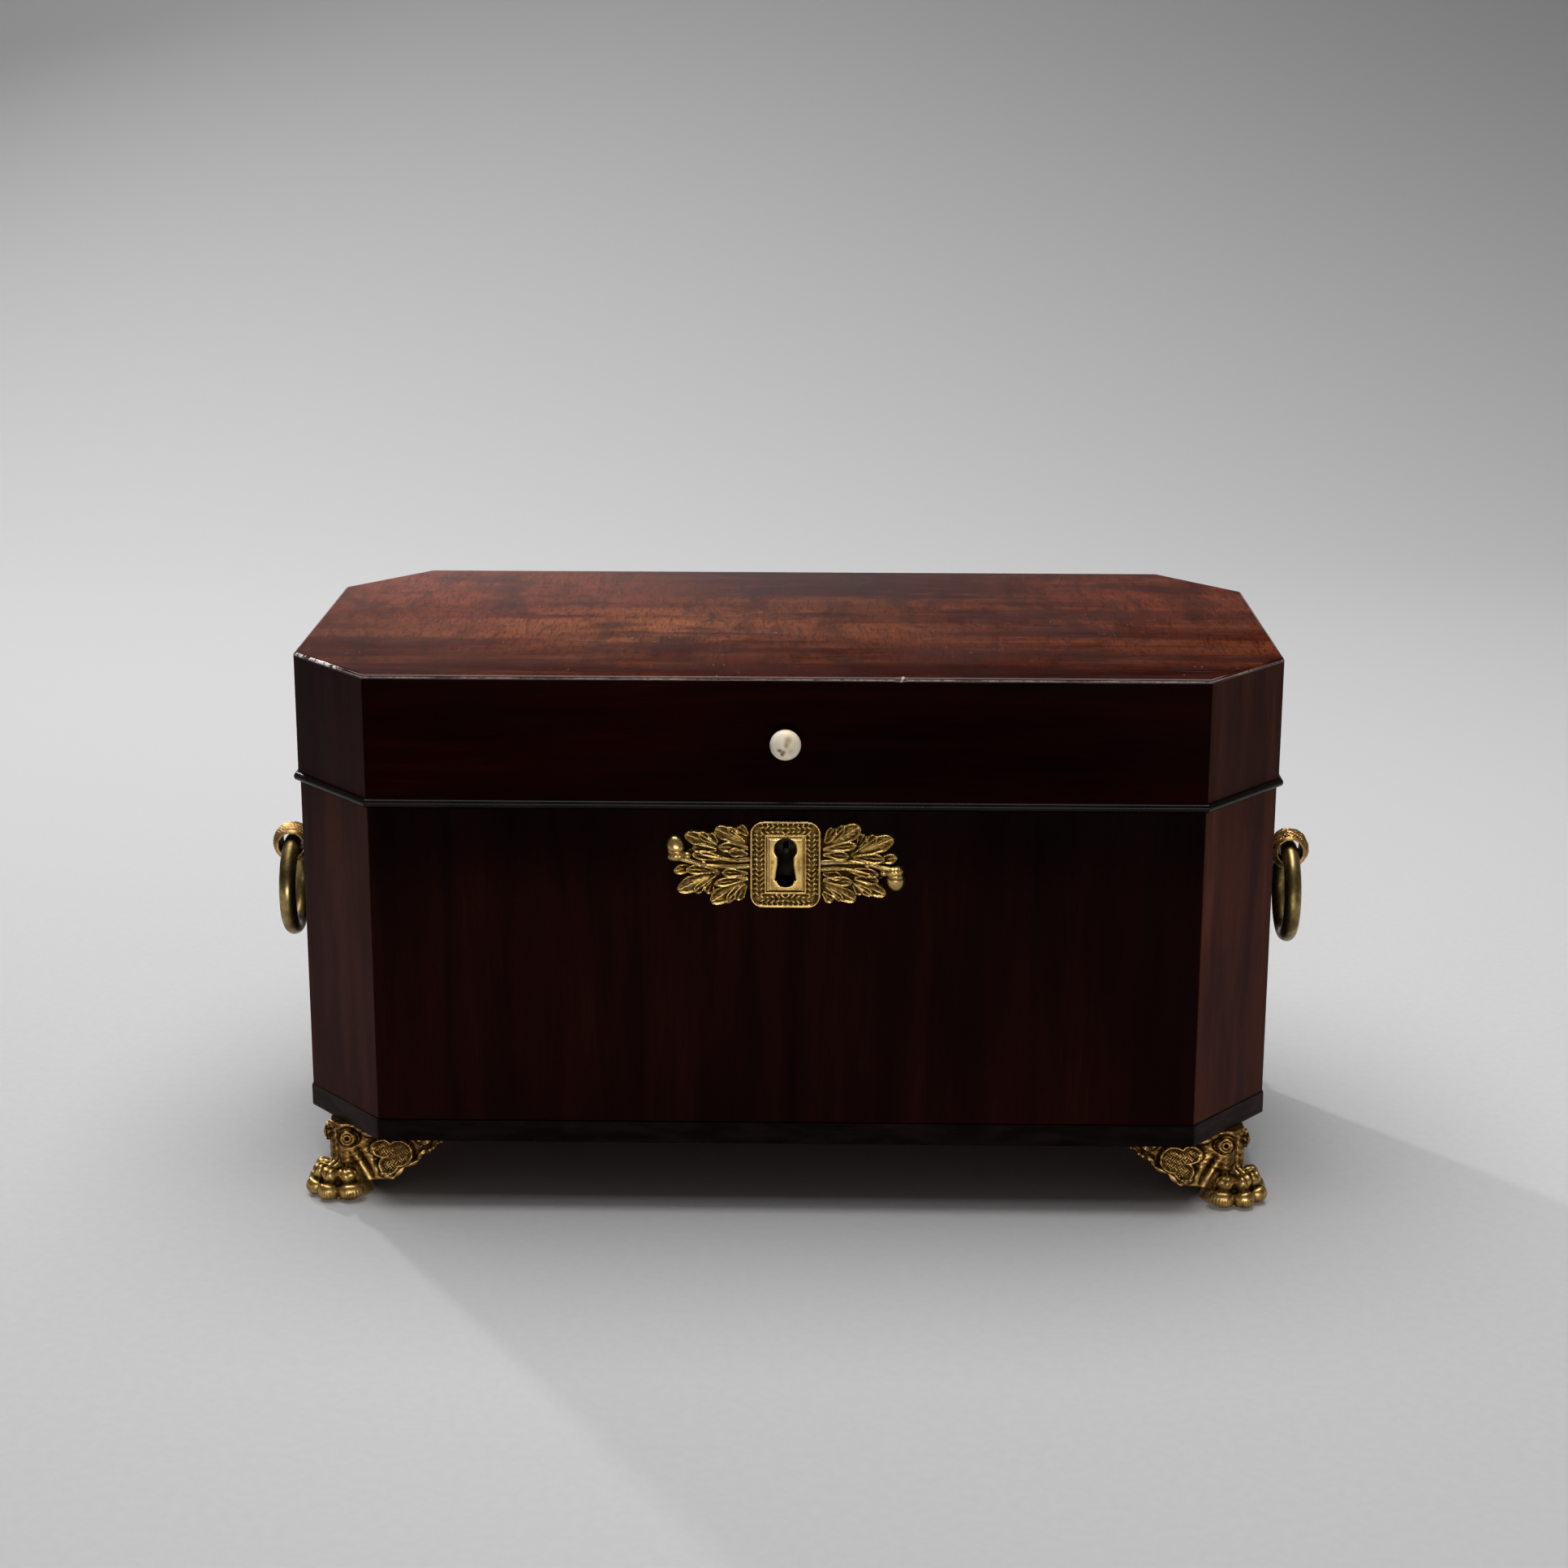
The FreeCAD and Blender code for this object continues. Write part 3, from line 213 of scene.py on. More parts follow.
def noise(tree, vector, scale=1.0, detail=4.0, roughness=0.5, distortion=0.0):
    """A grey noise pattern."""
    inputs = {"Scale": scale, "Detail": detail, "Roughness": roughness, "Distortion": distortion}
    return node(tree, "ShaderNodeTexNoise", {"Vector": vector, **inputs}).outputs["Fac"]


def math_node(tree, operation, first, second=0.0):
    """One sum of two numbers or links."""
    return node(tree, "ShaderNodeMath", {0: first, 1: second}, operation=operation).outputs[0]


def times(tree, value, *factors):
    """A value multiplied by one or more others."""
    for factor in factors:
        value = math_node(tree, "MULTIPLY", value, factor)
    return value


def span(tree, value, low, high, to_low=0.0, to_high=1.0):
    """A value mapped from one range to another, eased and held at its ends."""
    inputs = {"Value": value, "From Min": low, "From Max": high, "To Min": to_low, "To Max": to_high}
    return node(tree, "ShaderNodeMapRange", inputs, interpolation_type="SMOOTHSTEP").outputs[0]


def blend(tree, share, first, second, mode="MIX"):
    """Two colours mixed by a share. The node's sockets have like names, so they go by number."""
    made = node(tree, "ShaderNodeMix", {0: share}, data_type="RGBA", blend_type=mode)
    for index, colour in ((6, first), (7, second)):
        linked = isinstance(colour, bpy.types.NodeSocket)
        feed(tree, made.inputs[index], colour if linked else (*colour, 1.0))
    return made.outputs[2]


def stained(tree, colour, stain, pattern, low, high, share=1.0):
    """A colour that takes on a stain, by a share at most, as a pattern goes from low to high."""
    return blend(tree, span(tree, pattern, low, high, 0.0, share), colour, stain)


def ramp(tree, value, *stops):
    """A colour ramp with stops given as (place, colour)."""
    made = node(tree, "ShaderNodeValToRGB", {"Fac": value})
    elements = made.color_ramp.elements
    while len(elements) < len(stops):
        elements.new(0.5)
    for element, (position, colour) in zip(elements, stops):
        element.position = position
        element.color = (*colour, 1.0)
    return made.outputs["Color"]


def bump(tree, height, distance, strength=1.0):
    """Relief from a grey pattern."""
    inputs = {"Height": height, "Distance": distance, "Strength": strength}
    return node(tree, "ShaderNodeBump", inputs).outputs[0]


def grained(tree, grain, along, across, shift=(0, 0, 0)):
    """Coordinates stretched along the grain, which runs along x or upright along z."""
    scale = (along, across, across) if grain == "x" else (across, across, along)
    return place(tree, scale, shift=shift)


def patch(tree, middle, size, lean=0.0):
    """A soft oval spot, leaning in the front's plane: 1 at its middle, 0 outside."""
    inputs = {"Vector": place(tree), "Location": middle, "Rotation": (0, lean, 0), "Scale": size}
    local = node(tree, "ShaderNodeMapping", inputs, vector_type="TEXTURE").outputs[0]
    away = node(tree, "ShaderNodeVectorMath", {0: local}, operation="LENGTH").outputs["Value"]
    return span(tree, away, 1.0, 0.0)


# Colours of the wood, three tones from dark to light for each stretch

# Bare wood, light enough to serve on the lid's edge also as a painted highlight
BARE_WOOD_AND_HIGHLIGHT = (0.42, 0.32, 0.28)
# Pale painted highlight for the rounding of the lid's left cant
PAINTED_GLINT = (0.85, 0.80, 0.80)
PALE_SPECK = (0.40, 0.32, 0.26)
CHIP_BROWN = (0.075, 0.062, 0.042)
SEAM_BLACK = (0.0008, 0.0005, 0.0005)
GOLDEN = (0.30, 0.088, 0.028)
RUSSET = (0.26, 0.050, 0.019)
TOP_TONES = (0.021, 0.0026, 0.0009), (0.074, 0.0112, 0.0033), (0.19, 0.046, 0.0130)
LID_TONES = (0.0036, 0.0002, 0.0001), (0.0090, 0.0005, 0.0003), (0.0180, 0.0018, 0.0008)
PANEL_TONES = (0.0042, 0.0007, 0.0005), (0.0096, 0.0018, 0.0014), (0.0185, 0.0038, 0.0026)
# The cants' tones are lighter than those of the fronts and panels: partly the veneers' own colour, partly
# painted light where the cants catch more light
LEFT_CANT_TONES = (0.011, 0.0024, 0.0022), (0.030, 0.0066, 0.0056), (0.064, 0.0165, 0.0110)
RIGHT_CANT_TONES = (0.016, 0.0034, 0.0018), (0.050, 0.0118, 0.0052), (0.110, 0.0320, 0.0115)
INSIDE_TONES = (0.06, 0.018, 0.008), (0.12, 0.040, 0.018), (0.20, 0.075, 0.034)

# Height from which the panels take painted shade under the lid, and over how much. Over how much the base
# strips turn lighter at the canted corners, as painted light.
PANEL_SHADE_FROM = 0.106
PANEL_SHADE_OVER = 0.022
STRIPS_LIGHTEN_OVER = 0.002

# Edge of the lid: depths below its top between which each stretch of it fades in. The line worn through the
# polish is partly a painted highlight.
ROUNDING_FROM = (0.08 * MM, 0.25 * MM)
LINE_FROM = (0.55 * MM, 0.75 * MM)
LINE_ABOVE = (1.15 * MM, 0.95 * MM)

# Its painted highlight near the left cant's corner, and a chip with a splinter: middle, half sizes and lean
GLINT_CORNER = (-0.7 * HALF_WIDTH - 0.3 * CANT_FRONT_X, -0.3 * HALF_DEPTH - 0.7 * CANT_END_Y, LID_TOP)
GLINT_PATCH = (GLINT_CORNER, (22 * MM, 22 * MM, 14 * MM))
CHIP = ((36.0 * MM, LID_LOW.y, LID_TOP - 0.4 * MM), (3.6 * MM, 2.6 * MM, 2.6 * MM), -0.3)
SPLINTER = ((36.5 * MM, LID_LOW.y, LID_TOP - 0.4 * MM), (0.6 * MM, 3.0 * MM, 2.4 * MM), 0.5)

# Stretches of the lid's veneer: colour, middle, half sizes, strength, the figure's range and least share
FIGURE = (
    (GOLDEN, (-0.05, -0.01, LID_TOP), (0.13, 0.06, 1.0), 0.85, 0.38, 0.60, 0.0),
    (RUSSET, (-0.115, 0.045, LID_TOP), (0.115, 0.085, 1.0), 0.85, 0.30, 0.55, 0.45),
    (RUSSET, (0.130, 0.050, LID_TOP), (0.085, 0.075, 1.0), 0.50, 0.30, 0.55, 0.45),
)


# Finishes

def dimmed(colour, share):
    """A colour made darker or lighter."""
    return tuple(part * share for part in colour)


def shaded(tones, share):
    """Tones made darker or lighter alike."""
    return tuple(dimmed(tone, share) for tone in tones)


def dark_seams(tree, colour):
    """Black lines where the eased edges of two pieces meet."""
    seam = node(tree, "ShaderNodeAttribute", attribute_name="seam").outputs["Fac"]
    return blend(tree, seam, colour, SEAM_BLACK)


def lid_edge(tree, depths):
    """A stretch of the lid's edge: 0 at the first of two depths below its top, 1 at the second."""
    return span(tree, coordinate(tree, "Z"), LID_TOP - depths[0], LID_TOP - depths[1])


def worn_edge_and_highlight(tree, colour, dark):
    """Polish worn through along a line on the lid's rounded edge, partly a painted highlight, dark below it,
    with a painted highlight on the left cant and a chip.
    """
    below = lid_edge(tree, LINE_FROM)
    ends = lid_edge(tree, LINE_ABOVE)
    colour = blend(tree, below, colour, dark)
    chips = span(tree, noise(tree, place(tree), 700, 5, 0.7), 0.36, 0.58, 0.35, 1.0)
    stretches = span(tree, noise(tree, place(tree, shift=(2, 6, 4)), 60, 3, 0.6), 0.36, 0.60, 0.35, 1.0)
    # The worn line: bare wood that is partly a painted highlight
    colour = blend(tree, times(tree, below, ends, chips, stretches), colour, BARE_WOOD_AND_HIGHLIGHT)
    # Painted highlight: pale broken patches on the rounding near the left cant's corner
    glint_breaks = span(tree, noise(tree, place(tree, shift=(1, 2, 9)), 480, 4, 0.65), 0.44, 0.54)
    corner = span(tree, patch(tree, *GLINT_PATCH), 0.05, 0.45)
    glint = times(tree, corner, glint_breaks, lid_edge(tree, ROUNDING_FROM), ends)
    colour = blend(tree, glint, colour, PAINTED_GLINT)
    dent = times(tree, span(tree, patch(tree, *CHIP), 0.15, 0.6), chips)
    colour = blend(tree, dent, colour, CHIP_BROWN)
    return stained(tree, colour, BARE_WOOD_AND_HIGHLIGHT, patch(tree, *SPLINTER), 0.1, 0.5)


def polished_mahogany(name, grain, tones, gloss, shine, shade_from=None):
    """French-polished mahogany: broad streaks, fine fibres, pores, dark seams, a soft shine and, where a
    height is given, painted shade above it.
    """
    material, tree, shader = finish(name)
    dark, middle, light = tones
    streaks = noise(tree, grained(tree, grain, 7, 85), 1.0, 6, 0.62, 0.4)
    clouds = noise(tree, grained(tree, grain, 7, 16, (3, 1, 2)), 1.0, 3, 0.5)
    fibres = noise(tree, grained(tree, grain, 45, 1400), 1.0, 3, 0.6)
    pores = noise(tree, grained(tree, grain, 260, 3400), 1.0, 2, 0.5)
    haze = noise(tree, grained(tree, grain, 14, 30), 1.0, 4, 0.6)
    tone = math_node(tree, "ADD", times(tree, streaks, 0.55), times(tree, clouds, 0.45))
    colour = ramp(tree, tone, (0.36, dark), (0.5, middle), (0.66, light))
    colour = stained(tree, colour, dark, fibres, 0.35, 0.7, 0.3)
    colour = stained(tree, colour, dimmed(dark, 0.35), pores, 0.60, 0.72, 0.55)
    # Painted shade on the panels' upper part, under the lid
    if shade_from is not None:
        full = shade_from + PANEL_SHADE_OVER
        colour = stained(tree, colour, dimmed(dark, 0.2), coordinate(tree, "Z"), shade_from, full, 0.55)
    set_shader(
        tree,
        shader,
        Base_Color=dark_seams(tree, colour),
        Roughness=span(tree, haze, 0.3, 0.7, gloss - 0.03, gloss + 0.05),
        Normal=bump(tree, fibres, 0.00002, 0.5),
        Specular_IOR_Level=shine,
    )
    return material


def figured_top():
    """The lid's veneer: golden figure, cross mottle, fine ticks, smudges, scratches and pale specks."""
    material = polished_mahogany("mahogany_top", "x", TOP_TONES, 0.12, 0.20)
    tree = material.node_tree
    shader = tree.nodes["Principled BSDF"]
    colour = shader.inputs["Base Color"].links[0].from_socket
    figure = noise(tree, place(tree, (16, 60, 60), shift=(1, 4, 0)), 1.0, 5, 0.6, 0.6)
    for tint, middle, size, share, low, high, least in FIGURE:
        strength = times(tree, patch(tree, middle, size), share, span(tree, figure, low, high, least, 1.0))
        colour = blend(tree, strength, colour, tint)
    mottle = noise(tree, place(tree, (75, 26, 26), shift=(3, 6, 2)), 1.0, 4, 0.6, 0.8)
    ticks = noise(tree, place(tree, (1900, 190, 190), shift=(0.2, 0.1, 0)), 1.0, 2, 0.5)
    smudges = noise(tree, place(tree, (22, 34, 30), shift=(7, 2, 1)), 1.0, 4, 0.6, 0.5)
    scratches = noise(tree, place(tree, (45, 2600, 40), (0, 0, 0.35), (2, 5, 1)), 1.0, 1, 0.4)
    colour = stained(tree, colour, TOP_TONES[0], mottle, 0.46, 0.66, 0.55)
    colour = stained(tree, colour, TOP_TONES[0], ticks, 0.47, 0.66, 0.62)
    colour = stained(tree, colour, TOP_TONES[0], smudges, 0.53, 0.70, 0.6)
    colour = stained(tree, colour, BARE_WOOD_AND_HIGHLIGHT, scratches, 0.71, 0.79, 0.22)
    specks = span(tree, noise(tree, place(tree, shift=(1, 8, 3)), 900, 1, 0.4), 0.765, 0.80)
    crowded = span(tree, noise(tree, place(tree, shift=(4, 1, 6)), 26, 2, 0.5), 0.46, 0.62)
    colour = blend(tree, times(tree, specks, crowded), colour, PALE_SPECK)
    set_shader(tree, shader, Base_Color=worn_edge_and_highlight(tree, colour, LID_TONES[0]))
    return material


def ebonised_wood(name, shine, lit_from=None):
    """Black stained wood under polish, rubbed in places, and lighter brown far from the middle, as painted
    light on the canted corners.
    """
    material, tree, shader = finish(name)
    rubbed = noise(tree, place(tree, (60, 60, 240)), 1.0, 5, 0.6)
    fine = noise(tree, place(tree, (900, 900, 900)), 1.0, 2, 0.5)
    colour = ramp(tree, rubbed, (0.4, (0.0026, 0.0013, 0.0011)), (0.7, (0.0085, 0.0046, 0.0038)))
    # Painted light: the canted corners lighter brown
    if lit_from is not None:
        aside = math_node(tree, "ABSOLUTE", coordinate(tree, "X"))
        lit_tones = ramp(tree, rubbed, (0.35, (0.012, 0.0075, 0.0066)), (0.65, (0.030, 0.0195, 0.0165)))
        colour = stained(tree, colour, lit_tones, aside, lit_from, lit_from + STRIPS_LIGHTEN_OVER)
    set_shader(
        tree,
        shader,
        Base_Color=colour,
        Roughness=span(tree, rubbed, 0.3, 0.7, 0.20, 0.34),
        Normal=bump(tree, fine, 0.00002, 0.4),
        Specular_IOR_Level=shine,
    )
    return material


# Colours of the metals, three tones from dark to light
BRASS_TONES = (0.10, 0.07, 0.025), (0.27, 0.19, 0.07), (0.42, 0.31, 0.13)
LOCK_TONES = (0.004, 0.003, 0.002), (0.010, 0.008, 0.006), (0.026, 0.021, 0.015)
STEEL_TONES = (0.08, 0.07, 0.06), (0.20, 0.19, 0.18), (0.36, 0.35, 0.34)
TEA_LEAD_TONES = (0.10, 0.10, 0.10), (0.22, 0.22, 0.22), (0.36, 0.36, 0.36)


def plain_metal(name, tones, rough, scale=1.0):
    """Toned metal: patches of tarnish over a worn shine."""
    material, tree, shader = finish(name)
    dark, middle, light = tones
    patches = noise(tree, place(tree), 120 * scale, 5, 0.62, 0.6)
    grime = noise(tree, place(tree, shift=(5, 2, 7)), 420 * scale, 4, 0.6)
    fine = noise(tree, place(tree), 2600 * scale, 2, 0.5)
    colour = ramp(tree, patches, (0.34, dark), (0.5, middle), (0.66, light))
    set_shader(
        tree,
        shader,
        Base_Color=stained(tree, colour, dark, grime, 0.5, 0.75, 0.6),
        Roughness=span(tree, patches, 0.3, 0.7, rough + 0.12, rough - 0.06),
        Normal=bump(tree, fine, 0.00002, 0.35),
        Metallic=1.0,
    )
    return material


# Gilding from what stands proud to the hollows, the dirt on it, and the painted shade that darkens it above
# a given height
GILT_STOPS = (
    (0.12, (0.90, 0.66, 0.29)),
    (0.32, (0.58, 0.405, 0.145)),
    (0.50, (0.30, 0.195, 0.060)),
    (0.80, (0.035, 0.021, 0.007)),
)
GILT_DIRT = (0.13, 0.078, 0.026)
GILT_SHADE = (0.56, 0.49, 0.46)
SHADES_OVER = 4 * MM
FOOT_SHADED_ABOVE = 9 * MM


def gilt_brass(name, dulling, soil, polish, shaded_above=None):
    """Old gilding: rubbed bright on what stands proud, brown in the hollows, and darker above a height where
    one is given, as painted shade.
    """
    material, tree, shader = finish(name)
    hollow = node(tree, "ShaderNodeAttribute", attribute_name="hollow").outputs["Fac"]
    patches = noise(tree, place(tree), 230, 5, 0.65, 0.5)
    grime = noise(tree, place(tree, shift=(5, 2, 7)), 800, 4, 0.6)
    fine = noise(tree, place(tree), 3200, 2, 0.5)
    depth = math_node(tree, "ADD", hollow, span(tree, grime, 0.3, 0.75, -0.10, 0.14))
    stops = []
    for spot, tone in GILT_STOPS:
        stops.append((spot, tuple(part * share for part, share in zip(tone, dulling))))
    colour = stained(tree, ramp(tree, depth, *stops), GILT_DIRT, patches, 0.46, 0.68, soil)
    # Painted shade: darker above the given height
    if shaded_above is not None:
        above = span(tree, coordinate(tree, "Z"), shaded_above, shaded_above + SHADES_OVER)
        colour = blend(tree, above, colour, GILT_SHADE, "MULTIPLY")
    set_shader(
        tree,
        shader,
        Base_Color=colour,
        Roughness=span(tree, depth, 0.15, 0.7, polish, 0.62),
        Normal=bump(tree, fine, 0.00003, 0.4),
        Metallic=1.0,
    )
    return material


BONE_STOPS = (0.35, (0.80, 0.66, 0.46)), (0.55, (0.89, 0.78, 0.60)), (0.7, (0.94, 0.86, 0.72))
BONE_FLECK = (0.42, 0.28, 0.14)

# Stains on the lid knob: across and up from its middle, half sizes in millimetres, strength and colour
KNOB_STAINS = (
    (-1.75, -1.0, 1.3, 0.95, 1.0, (0.09, 0.045, 0.018)),
    (-0.95, -2.2, 1.1, 1.45, 1.0, (0.10, 0.06, 0.018)),
    (-0.45, -1.5, 0.9, 1.1, 0.9, (0.16, 0.10, 0.035)),
    (0.35, 0.7, 1.3, 1.6, 0.95, (0.28, 0.17, 0.06)),
    (0.9, 2.3, 1.8, 1.9, 0.85, (0.42, 0.27, 0.12)),
    (1.8, -1.2, 1.7, 1.4, 0.5, (0.42, 0.34, 0.20)),
)
STAIN_DEPTH = 6 * MM


def old_bone():
    """Polished bone, yellowed, with fine dark flecks and the stains of the lid's knob."""
    material, tree, shader = finish("bone")
    cloud = noise(tree, place(tree), 160, 4, 0.6)
    flecks = noise(tree, place(tree, (1400, 1400, 500)), 1.0, 2, 0.5)
    colour = stained(tree, ramp(tree, cloud, *BONE_STOPS), BONE_FLECK, flecks, 0.6, 0.72, 0.16)
    for across, up, wide, high, share, stain in KNOB_STAINS:
        middle = (across * MM, KNOB_FACE.y, KNOB_FACE.z + up * MM)
        spot = patch(tree, middle, (wide * MM, STAIN_DEPTH, high * MM))
        colour = blend(tree, times(tree, spot, share), colour, stain)
    set_shader(tree, shader, Base_Color=colour, Roughness=span(tree, cloud, 0.3, 0.7, 0.42, 0.28))
    return material


def clear_glass():
    """Clear old glass with a faint tint and slow ripples."""
    material, tree, shader = finish("glass")
    ripple = noise(tree, place(tree), 45, 2, 0.4)
    set_shader(
        tree,
        shader,
        Base_Color=ramp(tree, ripple, (0.3, (0.93, 0.97, 0.95)), (0.7, (0.97, 0.99, 0.98))),
        Normal=bump(tree, ripple, 0.0004, 0.3),
        Roughness=0.03,
        IOR=1.5,
        Transmission_Weight=1.0,
    )
    return material


def worn_velvet():
    """Faded crimson pile."""
    material, tree, shader = finish("lining_velvet")
    worn = noise(tree, place(tree), 22, 4, 0.6)
    pile = noise(tree, place(tree), 2600, 2, 0.5)
    colour = ramp(tree, worn, (0.35, (0.09, 0.008, 0.014)), (0.65, (0.22, 0.035, 0.045)))
    set_shader(
        tree,
        shader,
        Base_Color=stained(tree, colour, (0.05, 0.005, 0.008), pile, 0.4, 0.7, 0.5),
        Normal=bump(tree, pile, 0.0002, 0.8),
        Roughness=0.9,
        Sheen_Weight=0.5,
    )
    return material


def make_finishes():
    """All finishes by the name of the record's slot or of the piece."""
    # Each cant takes these tones darker or lighter to its own level, partly painted light and shade
    lid_left = shaded(LEFT_CANT_TONES, 0.55)
    lid_right = shaded(RIGHT_CANT_TONES, 0.85)
    body_right = shaded(RIGHT_CANT_TONES, 1.5)
    return {
        "top": figured_top(),
        "front": polished_mahogany("mahogany_front", "x", LID_TONES, 0.20, 0.008),
        "panel": polished_mahogany("mahogany_panel", "z", PANEL_TONES, 0.22, 0.014, PANEL_SHADE_FROM),
        "lid_cant_left": polished_mahogany("mahogany_lid_left", "z", lid_left, 0.40, 0.030),
        "lid_cant_right": polished_mahogany("mahogany_lid_right", "z", lid_right, 0.40, 0.036),
        "body_cant_left": polished_mahogany("mahogany_left_cant", "z", LEFT_CANT_TONES, 0.44, 0.038),
        "body_cant_right": polished_mahogany("mahogany_right_cant", "z", body_right, 0.44, 0.042),
        "inside": polished_mahogany("mahogany_inside", "x", INSIDE_TONES, 0.42, 0.2),
        "bead": ebonised_wood("ebonised_bead", 0.12),
        "ebonised_wood": ebonised_wood("ebonised_wood", 0.025, FRONT_HIGH.x),
        "gilt_brass": gilt_brass("gilt_brass", (0.74, 0.68, 0.55), 0.5, 0.27),
        # The feet's gilt: dirtier than the escutcheon's, with painted shade above a height
        "foot": gilt_brass("gilt_foot", (0.74, 0.66, 0.52), 0.85, 0.32, FOOT_SHADED_ABOVE),
        "boss": gilt_brass("gilt_boss", (0.80, 0.66, 0.55), 0.7, 0.36),
        "brass": plain_metal("brass", BRASS_TONES, 0.36),
        "lock": plain_metal("lock", LOCK_TONES, 0.5),
        "steel": plain_metal("steel", STEEL_TONES, 0.38),
        "tea_lead": plain_metal("tea_lead", TEA_LEAD_TONES, 0.55, 0.3),
        "bone": old_bone(),
        "glass": clear_glass(),
        "lining_velvet": worn_velvet(),
    }


def finish_of(name, slot):
    """Which finish a CAD node takes."""
    if name in ("lock_case", "lock_cap"):
        return "lock"
    if name == "lid_bead":
        return "bead"
    if name.startswith("foot_") and slot == "gilt_brass":
        return "foot"
    if slot != "mahogany":
        return slot
    if name == "lid_top_veneer":
        return "top"
    if "cant" in name:
        return name.replace("_front", "").replace("_back", "")
    if name.startswith("body_"):
        return "panel"
    if name in ("lid_front", "lid_back", "lid_left", "lid_right"):
        return "front"
    return "inside"


def dress(piece, material):
    """Gives a piece one finish all over."""
    piece.data.materials.clear()
    piece.data.materials.append(material)


def stand_in(piece, replaced, material):
    """Dresses a piece and lets it stand for a CAD node, on that node's body."""
    dress(piece, material)
    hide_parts(replaced)
    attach(piece, body_of[replaced])


# Castings in relief

# Spacing of a relief's grid, and how far and how often its surroundings are averaged, in grid steps
PITCH = 0.16 * MM
HOLLOW_REACH = 3
HOLLOW_ROUNDS = 3


def relief_piece(name, middle, half_width, half_height, height_at):
    """A casting on the front: a fine grid lifted by heights in millimetres, trimmed to its outline."""
    columns = round(2 * half_width * MM / PITCH)
    rows = round(2 * half_height * MM / PITCH)
    bpy.ops.mesh.primitive_grid_add(x_subdivisions=columns, y_subdivisions=rows, size=2)
    piece = bpy.context.object
    piece.name = name
    mesh = piece.data
    flat = np.zeros(len(mesh.vertices) * 3)
    mesh.vertices.foreach_get("co", flat)
    flat = flat.reshape(-1, 3)
    x = flat[:, 0] * half_width
    z = flat[:, 1] * half_height
    height = soften(height_at(x, z).reshape(rows + 1, columns + 1))
    hollow = hollows(height).ravel()
    height = height.ravel()
    lifted = np.stack([middle.x + x * MM, middle.y - height * MM, middle.z + z * MM], 1)
    mesh.vertices.foreach_set("co", lifted.ravel())
    mesh.attributes.new("hollow", "FLOAT", "POINT").data.foreach_set("value", hollow)
    trim_relief(mesh, height > 0, middle.y)
    return piece


def soften(height):
    """Eases the creases of a relief and keeps its outline."""
    for _ in range(2):
        padded = np.pad(height, 1, mode="edge")
        around = (padded[:-2, 1:-1] + padded[2:, 1:-1] + padded[1:-1, :-2] + padded[1:-1, 2:]) / 4
        height = np.where(height > 0, 0.5 * height + 0.5 * np.maximum(around, 0.6 * height), 0)
    return height


def hollows(height):
    """How far each point of a relief lies below the mean of its surroundings, from 0 to 1."""
    rows, columns = height.shape
    starts = (0, HOLLOW_REACH, 2 * HOLLOW_REACH)
    around = height
    for _ in range(HOLLOW_ROUNDS):
        padded = np.pad(around, HOLLOW_REACH, mode="edge")
        shifted = [padded[down:down + rows, aside:aside + columns] for down in starts for aside in starts]
        around = sum(shifted) / len(shifted)
    return np.clip((around - height) * 2.0 + 0.38, 0, 1)


def trim_relief(mesh, keep, floor):
    """Deletes the ground round a relief, eases its outline and closes its sides down to the face."""
    bpy.ops.object.mode_set(mode="EDIT")
    bm = bmesh.from_edit_mesh(mesh)
    bm.verts.ensure_lookup_table()
    outside = [vert for vert in bm.verts if not keep[vert.index]]
    bmesh.ops.delete(bm, geom=outside, context="VERTS")
    for _ in range(3):
        border = [vert for vert in bm.verts if vert.is_boundary]
        eased = {}
        for vert in border:
            beside = [edge.other_vert(vert).co for edge in vert.link_edges if edge.is_boundary]
            eased[vert] = (vert.co * 2 + sum(beside, Vector())) / (2 + len(beside))
        for vert, spot in eased.items():
            vert.co = spot
    edges = [edge for edge in bm.edges if edge.is_boundary]
    walls = bmesh.ops.extrude_edge_only(bm, edges=edges)
    for item in walls["geom"]:
        if isinstance(item, bmesh.types.BMVert):
            item.co.y = floor
    bmesh.update_edit_mesh(mesh)
    bpy.ops.mesh.select_all(action="SELECT")
    bpy.ops.mesh.normals_make_consistent(inside=False)
    bpy.ops.object.mode_set(mode="OBJECT")
    bpy.ops.object.shade_smooth_by_angle(angle=math.radians(50))


def turned(x, z, centre, turn):
    """How far points lie along and across a direction through a centre."""
    along = (x - centre[0]) * math.cos(turn) + (z - centre[1]) * math.sin(turn)
    across = (z - centre[1]) * math.cos(turn) - (x - centre[0]) * math.sin(turn)
    return along, across


def ellipse_bump(x, z, centre, long, short, turn, height):
    """A rounded bump, zero outside its ellipse."""
    along, across = turned(x, z, centre, turn)
    return height * np.sqrt(np.clip(1 - (along / long) ** 2 - (across / short) ** 2, 0, 1))


def half_round(value, middle, half_width):
    """A half-round moulding across a value, 1 at its middle and 0 past its edges."""
    return np.sqrt(np.clip(1 - ((value - middle) / half_width) ** 2, 0, 1))


def ridge(value, middle, half_width):
    """A soft ridge round a value, 1 at its middle."""
    return np.exp(-(((value - middle) / half_width) ** 2))


def ridges(value, rows):
    """Ridges and grooves side by side, each given by its middle, half width and height."""
    return sum(high * ridge(value, middle, half_width) for middle, half_width, high in rows)


def smooth_step(value):
    """A value eased from 0 to 1."""
    value = np.clip(value, 0, 1)
    return value * value * (3 - 2 * value)


